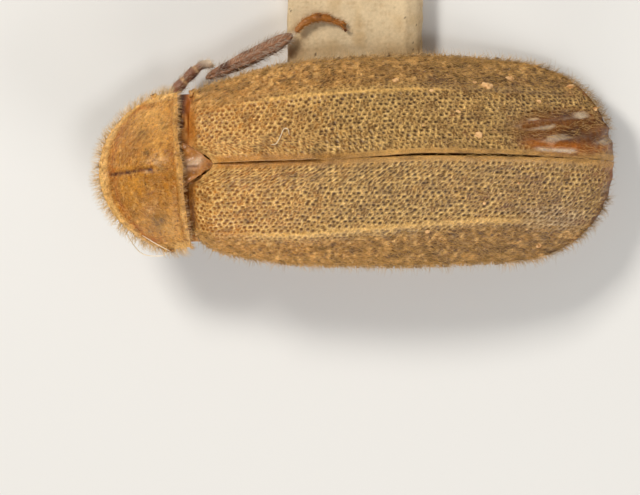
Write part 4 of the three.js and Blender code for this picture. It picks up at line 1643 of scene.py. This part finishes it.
@dataclass
class Eye(Plate):
    """A bulging compound eye, a little flatter under the edge of the shield."""

    flatter: float = 0.9

    def shape(self, piece: Piece) -> Array:
        """Presses the top of the eye down.

        Args:
            piece: the fine mesh in mm.

        Returns:
            The noise that was used, for each point.
        """
        points = places(piece)
        floor = points[:, 2].min()
        points[:, 2] = floor + (points[:, 2] - floor) * self.flatter
        move_to(piece, points)
        return super().shape(piece)


@dataclass
class ChestSkin(Plate):
    """One skin over both rings of the chest, with a dark glossy breast plate on its flanks."""

    others: tuple[str, ...] = ()
    swell: float = 0.028

    @property
    def nodes(self) -> tuple[str, ...]:
        """The solids that the skin stands for."""
        return (self.node, *self.others)

    def source(self) -> Piece:
        """Joins the rings and closes the seam between them.

        Returns:
            The fine mesh that the skin is shaped from.
        """
        rings = [copy_of(node, f"ring_{node}") for node in self.nodes]
        for ring in rings:
            modify(ring, "SUBSURF", levels=1, render_levels=1)
            move_to(ring, places(ring) + normals(ring) * self.swell)
        piece = join(rings, self.name)
        refine(piece, 0, self.voxel, self.rounds)
        return piece

    def tint(self, points: Array, lumps: Array) -> tuple[Array, Array]:
        """Colours the skin: pale in front, orange above, a dark glossy plate below, painted sheen
        on it.

        Args:
            points: its points in mm.
            lumps: the noise of its surface.

        Returns:
            A shade and a polish for each point.
        """
        x, _, w = to_insect(points).T
        cloud = rough_noise(points, 0.16, self.seed + 5)
        border = 0.93 + 0.06 * np.sin(x * 5) + 0.03 * noise(points, 0.15, 12)
        low = rise(border - w, 0.0, 0.07) * rise(x, -1.42, -1.3) * rise(-x, 0.28, 0.4)
        shade = coated(
            self.shade,
            (self.second, 0.7 * rise(cloud + 0.3 * lumps, -0.4, 0.9)),
            ((228, 162, 86), 0.8 * rise(-x, 1.38, 1.6) * rise(w, 0.9, 1.1)),
            ((126, 56, 22), 0.85 * low),
            # A painted sheen, pale greyish violet, on the dark breast plate
            ((160, 104, 84), 0.5 * bump(x, -1.12, 0.12) * bump(w, 0.76, 0.1)),
            ((190, 124, 54), 0.6 * bump(x, -0.36, 0.08) * rise(w, 0.6, 0.8)),
            *self.fold_coats(points),
            ((222, 186, 140), 0.8 * clouds(points, 0.05, 14, 0.9, 1.2) * rise(w, 1.05, 1.15)))
        return shade, self.shine + 0.7 * low + 0.1 * lumps


# Soft skin, card, glue and dirt

@dataclass
class NeckMembrane:
    """The soft skin between the neck shield and the wing cases."""

    left_case: WingCase
    right_case: WingCase
    front: float = -2.34
    rear: float = -1.72
    half_width: float = 0.92
    shift: float = -0.09
    case_base: float = -1.95
    sag: float = 0.07
    thickness: float = 0.04

    def build(self) -> Piece:
        """Makes the membrane with its creases, painted shade and light on them, and a painted
        shadow.

        Returns:
            The membrane.
        """
        piece, u, v = grid("neck_membrane", 44, 160)
        side = (v * 2 - 1) * self.half_width + self.shift
        x = self.front + (self.rear - self.front) * u
        out = np.abs(side)
        base = np.full(len(u), self.case_base)
        left, right = self.left_case.height(base, out), self.right_case.height(base, out)
        top = np.where(side < 0, left, right) - 0.14 - 0.03 * rise(out, 0.8, 1.0)
        top = top - 0.28 * rise(-x, 2.1, 2.34) * rise(out, 0.5, 0.95)
        own = np.stack([x, side, 0 * x], 1)
        crease = noise(own, (0.07, 0.3, 1), 121) + 0.5 * noise(own, (0.03, 0.09, 1), 122)
        move_to(piece, to_row(x, side, top - self.sag * np.sin(u * math.pi) + 0.035 * crease))
        tint = coated(
            (158, 88, 26),
            # Creases darker in their hollows and paler on their crests: painted shade and painted
            # light
            ((84, 38, 8), 0.8 * rise(-crease, 0.0, 0.9)),
            # A painted shadow under the rear edge of the neck shield
            ((58, 24, 6), 0.75 * rise(-x, 2.08, 2.16)),
            ((216, 152, 76), 0.7 * rise(crease, 0.2, 0.9)))
        lay_tint(piece, tint, 0.5 + 0.4 * crease)
        return settle_sheet(piece, self.thickness, PALE_SKIN)


@dataclass
class CardStrip:
    """The strip of card that carries the insect, with soft fibrous edges."""

    voxel: float = 0.022
    edge_radius: float = 0.045
    layer_height: tuple[float, float] = (0.14, 0.24)

    def build(self) -> Piece:
        """Makes the card with worn edges, foxing and a glue stain.

        Returns:
            The card.
        """
        piece = copy_of("card", "card_strip")
        modify(piece, "BEVEL", width=self.edge_radius, segments=3, limit_method="ANGLE")
        refine(piece, 0, self.voxel, 0)
        points, facing = places(piece), normals(piece)
        x, y, z = points.T
        edge = rise(1 - np.abs(facing[:, 2]), 0.2, 0.9)
        lift = 0.006 * rough_noise(points, 0.15, 101) * (0.25 + edge)
        lift += 0.012 * noise(points, (0.5, 0.5, 0.5), 102) * edge
        lift_skin(piece, points, facing, np.where(z < 0.02, np.minimum(lift, 0), lift))
        fibre = noise(points, (0.02, 0.12, 0.1), 107) + noise(points, (0.12, 0.02, 0.1), 108)
        stain = bump(np.hypot((x - 0.55) / 1.4, y - 1.05), 0, 0.28)
        front = rise(-facing[:, 1], 0.3, 0.8)
        upper = rise(z + 0.05 * noise(points, 0.2, 104), *self.layer_height)
        layer = coated((220, 206, 184), ((216, 168, 112), upper),
                       ((176, 108, 50), 0.6 * clouds(points, 0.09, 105, 0.0, 0.8) * upper))
        # The front face darkens towards its bottom at its left end
        dirt = front * rise(-x, 0.55, 0.95) * rise(-z, -0.3, -0.05)
        lay_tint(piece, coated(
            (214, 190, 152),
            ((190, 156, 108), 0.6 * clouds(points, 0.3, 103, -0.4, 0.9)),
            ((160, 122, 78), 0.3 * rise(fibre, 0.3, 1.2)),
            ((176, 132, 66), 0.8 * stain),
            (layer, front),
            ((112, 74, 36), 0.6 * dirt),
            ((58, 44, 30), 0.9 * spots(points, 0.045, 106, 0.8, 0.88))))
        return settle(piece, CARD_STOCK, ["card"])


@dataclass
class GluePool:
    """The dried amber glue under the breast."""

    voxel: float = 0.014

    def build(self) -> Piece:
        """Makes the glue with a wet-looking, slightly lumpy skin.

        Returns:
            The glue.
        """
        piece = copy_of("glue", "glue_pool")
        refine(piece, 0, self.voxel, 4)
        points, facing = places(piece), normals(piece)
        lumps = rough_noise(points, 0.14, 111)
        lift_skin(piece, points, facing, 0.012 * lumps * rise(points[:, 2], 0.475, 0.5))
        tint = coated((150, 84, 30), ((84, 38, 12), rise(lumps, -0.3, 0.8)),
                      ((196, 136, 66), 0.6 * rise(-lumps, 0.3, 1.0)))
        lay_tint(piece, tint, 0.6 + 0.4 * lumps)
        return settle(piece, DRY_GLUE, ["glue"])


@dataclass
class Debris:
    """Crumbs and loose fibres that stuck to the dried insect.

    A crumb is a length along the insect, an offset to its right and a size. The fibre on the
    right case is a line of lengths and offsets, and the strands are lines of the row frame.
    """

    cases: dict[Side, WingCase]
    crumbs: tuple[Triple, ...] = (
        (1.65, 0.93, 0.07), (1.94, 1.04, 0.05), (1.54, 0.28, 0.055), (1.28, 0.58, 0.035),
        (2.7, 0.96, 0.045), (3.0, 0.68, 0.03), (0.5, 0.99, 0.04), (0.95, 0.86, 0.03),
        (2.29, -1.03, 0.035), (1.62, -0.55, 0.025), (0.9, -0.9, 0.025), (-1.12, -0.95, 0.02),
        (0.85, 0.4, 0.022), (2.3, 0.75, 0.03), (1.5, 0.98, 0.028), (0.92, 0.1, 0.018),
        (0.05, -0.72, 0.02), (2.05, -0.3, 0.018))
    fibre: Stations = ((-1.05, 0.13), (-0.99, 0.14), (-0.94, 0.22), (-0.89, 0.34),
                       (-0.84, 0.34), (-0.82, 0.26))
    strands: tuple[tuple[Triple, ...], ...] = (
        ((-2.89, -0.53, 1.45), (-2.91, -0.755, 1.3), (-2.81, -0.995, 1.22),
         (-2.66, -1.165, 1.25), (-2.44, -1.185, 1.3), (-2.29, -1.12, 1.32)),
        ((-2.69, -0.88, 1.4), (-2.5, -1.0, 1.4), (-2.31, -1.11, 1.37)))
    fibre_radius: float = 0.006

    def build(self) -> None:
        """Makes the crumbs and the fibres."""
        crumbs = [self._crumb(i, *crumb) for i, crumb in enumerate(self.crumbs)]
        piece = join(crumbs, "dust_crumbs")
        drop_unwraps(piece)
        points = places(piece)
        lay_tint(piece, coated((236, 190, 134),
                               ((184, 130, 76), spots(points, 0.03, 141, -0.2, 0.8))))
        settle(piece, CARD_STOCK)
        x, out = np.array(self.fibre).T
        case = self.cases[Side.RIGHT]
        lines = [to_row(x, out, case.height(x, out) + case.crest(x, out) + 0.025)]
        lines += [np.array(strand) for strand in self.strands]
        piece = join([self._fibre(line, i) for i, line in enumerate(lines)], "loose_fibres")
        lay_tint(piece, colour((240, 222, 192)))
        settle(piece, HAIR_SHAFT)

    def _fibre(self, line: Array, number: int) -> Piece:
        """Rolls a grid into a thin fibre along a line.

        Args:
            line: points of the row frame in mm, in order.
            number: tells the fibres apart.

        Returns:
            The fibre, in mm.
        """
        piece, u, v = grid(f"fibre_{number}", 60, 6)
        stations = np.linspace(0, 1, len(line))
        paths = [through(tuple(zip(stations, line[:, i]))) for i in range(3)]
        middle = np.stack([path(u) for path in paths], 1)
        ahead = np.stack([path(np.minimum(u + 0.02, 1)) for path in paths], 1)
        way = ahead - middle + np.array([1e-5, 0, 0])
        way /= np.linalg.norm(way, axis=1)[:, None]
        across = unit(np.cross(way, (0.1, 0.2, 1.0)))
        up = np.cross(across, way)
        radius = self.fibre_radius * np.sin(math.pi * np.clip(u, 0.0, 1.0)) ** 0.4
        turn = -2 * math.pi * v
        ring = across * np.cos(turn)[:, None] + up * np.sin(turn)[:, None]
        lift_skin(piece, middle, ring, radius)
        merge_close(piece, 0.0004, outward=True)
        return piece

    def _crumb(self, number: int, x: float, across: float, size: float) -> Piece:
        """Makes one crumb, a rough flattened lump.

        Args:
            number: picks its shape.
            x: the length along the insect.
            across: the offset to the right, below 0 on the left.
            size: its radius in mm.

        Returns:
            The crumb, in mm.
        """
        bpy.ops.object.select_all(action="DESELECT")
        bpy.ops.mesh.primitive_ico_sphere_add(subdivisions=4, radius=1)
        piece = bpy.context.object
        ball = places(piece)
        rough = 1 + 0.45 * noise(ball, 0.8, 130 + number) + 0.2 * noise(ball, 0.35, 150 + number)
        lump = ball * rough[:, None] * size * np.array([1.0, 0.75, 0.4])
        case = self.cases[Side.RIGHT if across > 0 else Side.LEFT]
        z = case.height(np.array([x]), np.array([abs(across)])) + 0.25 * size
        move_to(piece, lump + to_row(np.array([x]), np.array([across]), z))
        return piece


# The whole insect

# Fold shades are partly the flank's own colours and partly painted light: grooves are painted
# darker as shaded, most ridges paler as lit
FLANK_FOLDS = tuple(Fold(*values) for values in (
    (((-1.98, 1.53), (-1.765, 1.21), (-1.64, 1.09)), -0.035, 0.035, (112, 52, 18)),
    (((-1.925, 1.605), (-1.7, 1.44), (-1.51, 1.27)), 0.04, 0.04, (206, 132, 58)),
    (((-1.675, 1.516), (-1.55, 1.3), (-1.46, 1.23)), 0.035, 0.028, (224, 168, 92)),
    (((-2.07, 1.27), (-1.89, 1.12), (-1.73, 1.0)), 0.035, 0.035, (206, 134, 62)),
    (((-1.42, 1.4), (-1.36, 1.1), (-1.2, 0.8)), -0.012, 0.03, (140, 72, 26), 0.4),
    (((-1.32, 1.12), (-0.925, 1.1), (-0.657, 1.12), (-0.5, 1.07)), 0.03, 0.045, (196, 124, 58)),
    (((-1.175, 1.37), (-1.05, 1.31), (-0.96, 1.19)), 0.035, 0.03, (206, 148, 84)),
    (((-1.25, 1.22), (-1.0, 1.27), (-0.7, 1.22)), -0.025, 0.03, (150, 74, 26)),
    (((-0.675, 1.27), (-0.57, 1.355), (-0.425, 1.39), (-0.35, 1.3), (-0.28, 1.12)),
     0.04, 0.035, (196, 138, 76)),
    (((-0.425, 1.25), (-0.34, 1.16), (-0.3, 1.0), (-0.26, 0.86), (-0.16, 0.73)),
     -0.045, 0.03, (70, 32, 14)),
    (((-0.57, 1.18), (-0.46, 1.05), (-0.336, 0.93), (-0.21, 0.71)), 0.04, 0.035, (160, 98, 48)),
    (((-0.85, 0.745), (-0.65, 0.765), (-0.46, 0.74)), 0.03, 0.028, (176, 116, 78)),
))


class Insect:
    """All pieces of the animal on its card."""

    def shells(self) -> list[WingCase | NeckShield | FlightWing | NeckMembrane | Debris]:
        """Gives the large parts.

        Returns:
            The shield, the cases, the flight wings, the soft skin and the dirt on them.
        """
        cases = {side: WingCase(side) for side in Side}
        wings = [FlightWing(case) for case in cases.values()]
        return [NeckShield(), *cases.values(), *wings, NeckMembrane(*cases.values()),
                Debris(cases)]

    def body(self) -> list[Plate]:
        """Gives the parts of the trunk and head."""
        return [
            ChestSkin("metathorax", CHEST_SHELL, (208, 120, 48), (170, 86, 30), "chest_skin",
                      voxel=0.018, rounds=14, rough=0.005, shine=0.4, folds=FLANK_FOLDS,
                      hairs=1100, style=HairStyle(0.055, 0.0028, 0.75, (222, 176, 112)),
                      seed=1, others=("mesothorax",)),
            Plate("prosternum", CHEST_SHELL, (176, 104, 46), (128, 66, 26), "front_chest",
                  rough=0.01, hairs=300, seed=3),
            Scutellum("scutellum", PALE_SKIN, (174, 116, 56), (106, 60, 24), "scutellum_plate",
                      levels=3, voxel=0.0, rounds=0, rough=0.014, rough_size=0.1, shine=0.7,
                      seed=4, hairs=60, style=HairStyle(0.05, 0.003, 0.6, (230, 196, 148))),
            Plate("head", CHEST_SHELL, (150, 84, 36), (84, 40, 18), "head_shell", rough=0.01,
                  hairs=350, seed=5),
            Plate("mouthparts", LEG_SHELL, (178, 100, 44), (104, 50, 22), "mouth_parts",
                  voxel=0.008, hairs=120, lie=(-0.2, 0, -1), seed=6,
                  style=HairStyle(0.05, 0.0026, 0.4, (226, 190, 140))),
            Plate("abdomen_root", DARK_SHELL, (96, 46, 20), (56, 26, 14), "torn_abdomen",
                  rough=0.02, rough_size=0.09, hairs=400, seed=7,
                  style=HairStyle(0.09, 0.003, 0.4, (190, 150, 104))),
        ]

    def eyes(self) -> list[Plate]:
        """Gives both eyes."""
        return [
            Eye(f"eye_{side.label}", EYE_LENS, (11, 10, 11), (26, 23, 22),
                f"eye_lens_{side.label}", levels=3, voxel=0.0, rounds=0, rough=0.0015,
                rough_size=0.2, shine=0.5, seed=8 + side.value)
            for side in Side
        ]

    def feelers(self) -> list[Plate]:
        """Gives the parts of the feelers.

        Returns:
            The feelers, their bases and the palps.
        """
        hairy = HairStyle(0.06, 0.0026, 0.45, (226, 206, 176), spread=0.6)
        row = {"rough": 0.004, "rough_size": 0.04, "style": hairy}
        short = {"rough": 0.004, "hairs": 120, "style": hairy}
        brown, base, palp = ((140, 94, 70), (92, 52, 38)), ((176, 108, 58), (112, 60, 30)), \
            ((168, 100, 46), (110, 58, 28))
        return [
            Limb("antenna_left", FEELER_SHELL, *brown, "feeler_left", hairs=900, lie=(1, 0, 0),
                 start=(-2.28, 0, 0), end=(-0.7, 0, 0), joints=9, seed=20, **row),
            Limb("antenna_right", FEELER_SHELL, *brown, "feeler_right", hairs=700,
                 lie=(0.7, 0.7, 0), start=(-2.7, 0.24, 0.45), end=(-1.76, 1.03, 0.27),
                 joints=6, tip_shade=(228, 206, 180), seed=21, **row),
            Limb("antenna_left_base", LEG_SHELL, *base, "feeler_base_left",
                 lie=(1, -0.5, 0), seed=22, **short),
            Limb("antenna_right_base", LEG_SHELL, *base, "feeler_base_right",
                 lie=(-0.5, 0.8, 0), seed=23, **short),
            Limb("palp_left", LEG_SHELL, *palp, "palp_left_joints",
                 lie=(0.6, 0, -0.6), seed=24, **short),
            Limb("palp_right", LEG_SHELL, *palp, "palp_right_joints",
                 lie=(0.6, 0, -0.6), seed=25, **short),
        ]

    def legs(self) -> list[Plate]:
        """Gives every part of the legs.

        Returns:
            The hips, then the thighs, then the shins and the foot.
        """
        ochre, tan, rust = (196, 140, 74), (170, 106, 46), (120, 62, 24)
        pale = (206, 148, 84)
        short = HairStyle(0.05, 0.0026, 0.6, (226, 190, 136))
        long = HairStyle(0.095, 0.0032, 0.35, (236, 224, 204), spread=0.4, curl=0.3)
        hips = [
            Plate(f"hip_{place}", LEG_SHELL, first, second, levels=1, voxel=0.01, hairs=hairs,
                  style=short, seed=30 + i)
            for i, (place, first, second, hairs) in enumerate((
                ("front_left", pale, tan, 300), ("front_right", pale, tan, 200),
                ("middle_left", tan, rust, 120), ("middle_right", tan, rust, 120)))
        ]
        hips += [
            Plate(f"hip_hind_{side}", DARK_SHELL, first, second, levels=1, voxel=0.012,
                  rough=rough, shine=shine, hairs=220, style=short, seed=seed)
            for side, first, second, rough, shine, seed in (
                ("left", (132, 66, 32), (80, 38, 18), 0.014, 0.9, 34),
                ("right", (112, 54, 24), (62, 28, 14), 0.01, 0.8, 35))
        ]
        thighs = [
            Limb(f"thigh_{place}", LEG_SHELL, first, second, hairs=hairs, style=short,
                 seed=36 + i, **more)
            for i, (place, first, second, hairs, more) in enumerate((
                ("front_left", (176, 108, 44), (112, 54, 18), 500, {
                    "rough": 0.014, "rough_size": 0.08, "lie": (1, 0, -0.2), "grooves": 0.003,
                    "start": (-1.76, -0.6, 0.8), "end": (-1.1, -0.72, 0.73),
                    "tip_shade": (222, 168, 106)}),
                ("front_right", ochre, tan, 250, {"lie": (0, 1, 0)}),
                ("middle_left", (206, 132, 52), (120, 58, 18), 80, {
                    "rough": 0.014, "rough_size": 0.07, "shine": 0.7, "start": (-0.86, 0, 0),
                    "end": (-0.24, 0, 0), "tip_shade": (216, 164, 92)}),
                ("middle_right", ochre, tan, 400, {"lie": (-0.8, 0.6, 0.1)}),
                ("hind_left", (246, 196, 124), (208, 150, 86), 600, {
                    "rough": 0.01, "rough_size": 0.07, "grow": 0.015, "lie": (0.8, 0, 0.5),
                    "grooves": 0.007, "start": (0.17, -0.42, 0.68), "end": (0.82, -0.66, 1.03)}),
                ("hind_right", ochre, tan, 250, {"lie": (0.8, 0.2, 0.3)})))
        ]
        shins = [
            Limb("shin_front_right", SHIN_SHELL, (142, 98, 66), (94, 56, 34), hairs=700,
                 style=long, lie=(0.75, -0.3, -0.55), grooves=0.004, start=(-1.84, 0.6, 0.44),
                 end=(-1.28, 0.2, 0.085), tip_shade=(176, 132, 92), seed=42),
            Limb("shin_middle_right", SHIN_SHELL, (150, 106, 76), (88, 54, 38), hairs=1000,
                 style=long, lie=(0.9, 0.4, 0), grooves=0.008, grow=0.006,
                 start=(-1.865, 0.95, 0.6), end=(-0.79, 1.5, 0.61), seed=43),
            Limb("shin_hind_left", SHIN_SHELL, (112, 66, 36), (64, 34, 18), hairs=300,
                 style=long, lie=(-0.9, 0, -0.4), grooves=0.003, start=(0.97, -0.6, 0.94),
                 end=(0.48, -0.5, 0.7), seed=44),
            Limb("foot_middle_right", SHIN_SHELL, (158, 98, 36), (92, 46, 14), voxel=0.006,
                 rounds=1, rough_size=0.05, grow=0.004, hairs=600, lie=(0.9, 0.2, 0),
                 style=HairStyle(0.045, 0.0026, 0.4, (196, 128, 56)), seed=45),
        ]
        return hips + thighs + shins

    def build(self) -> None:
        """Makes every piece, from the large plates to the feet."""
        for part in (*self.shells(), *self.body(), *self.eyes(), *self.feelers(),
                     *self.legs(), CardStrip(), GluePool()):
            part.build()


# Stage

@dataclass
class Stage:
    """The pale floor, the soft light and the camera that looks down on the back."""

    tilt: float = math.radians(12)
    frame_x: float = 355.0
    frame_y: float = 160.0
    frame_lift: float = 0.23
    width: int = 640
    height: int = 495
    distance: float = 50.0
    floor_size: float = 0.3
    floor_gap: float = 0.000004

    def floor(self) -> None:
        """Lays the floor under the card."""
        bpy.ops.object.select_all(action="DESELECT")
        bpy.ops.mesh.primitive_plane_add(size=self.floor_size, location=(0, 0, -self.floor_gap))
        floor = bpy.context.object
        floor.name = "floor"
        material = bpy.data.materials.new("pale_floor")
        material.use_nodes = True
        shader = material.node_tree.nodes["Principled BSDF"]
        shader.inputs["Base Color"].default_value = (0.78, 0.77, 0.75, 1)
        shader.inputs["Roughness"].default_value = 0.9
        floor.data.materials.append(material)

    def lamp(self, name: str, place: Triple, size: float, power: float,
             shade: Triple = (1, 1, 1)) -> None:
        """Adds a soft square light that faces the insect.

        Args:
            name: its name.
            place: where it hangs, in mm.
            size: the length of its side in mm.
            power: its power in watts.
            shade: its colour in linear light.
        """
        data = bpy.data.lights.new(name, "AREA")
        data.shape = "SQUARE"
        data.size = size * MM
        data.energy = power
        data.color = shade
        lamp = bpy.data.objects.new(name, data)
        bpy.context.scene.collection.objects.link(lamp)
        lamp.location = Vector(place) * MM
        aim = Vector((0, 0, 1)) * MM - lamp.location
        lamp.rotation_euler = aim.to_track_quat("-Z", "Y").to_euler()

    def lights(self) -> None:
        """Sets the lights and the even light of the room."""
        self.lamp("key_light", (-20, 24, 30), 9, 0.0132, (1.0, 0.965, 0.9))
        self.lamp("fill_light", (26, -24, 24), 20, 0.0052, (1.0, 0.99, 0.97))
        self.lamp("top_light", (4, -6, 44), 12, 0.0035)
        self.lamp("side_light", (0, -46, 12), 24, 0.0072, (1.0, 0.96, 0.9))
        world = bpy.data.worlds.new("room")
        bpy.context.scene.world = world
        world.use_nodes = True
        room = world.node_tree.nodes["Background"].inputs
        room["Color"].default_value = (1, 0.98, 0.95, 1)
        room["Strength"].default_value = 0.25
        bpy.context.scene.view_settings.view_transform = "Standard"

    def camera(self) -> None:
        """Points the camera so that the back falls where the photograph shows it."""
        data = bpy.data.cameras.new("camera")
        data.type = "ORTHO"
        data.ortho_scale = self.width / PIXELS_PER_MM * MM
        data.clip_start, data.clip_end = 0.001, 1.0
        camera = bpy.data.objects.new("camera", data)
        bpy.context.scene.collection.objects.link(camera)
        back = Vector((0, math.sin(self.tilt), math.cos(self.tilt)))
        up = Vector((0, math.cos(self.tilt), -math.sin(self.tilt)))
        x = (self.width / 2 - self.frame_x) / PIXELS_PER_MM
        rise_mm = (self.frame_y - self.height / 2) / PIXELS_PER_MM - self.frame_lift
        middle = Vector((x, 0, 0)) + up * rise_mm
        camera.location = (middle + back * self.distance) * MM
        camera.rotation_euler = (-self.tilt, 0, 0)
        bpy.context.scene.camera = camera

    def build(self) -> None:
        """Sets up floor, lights and camera."""
        self.floor()
        self.lights()
        self.camera()


def main() -> None:
    """Builds the insect, its mount and the stage."""
    logging.basicConfig(level=logging.INFO, format="%(name)s %(message)s")
    Insect().build()
    Stage().build()


if __name__ == "__main__":
    main()
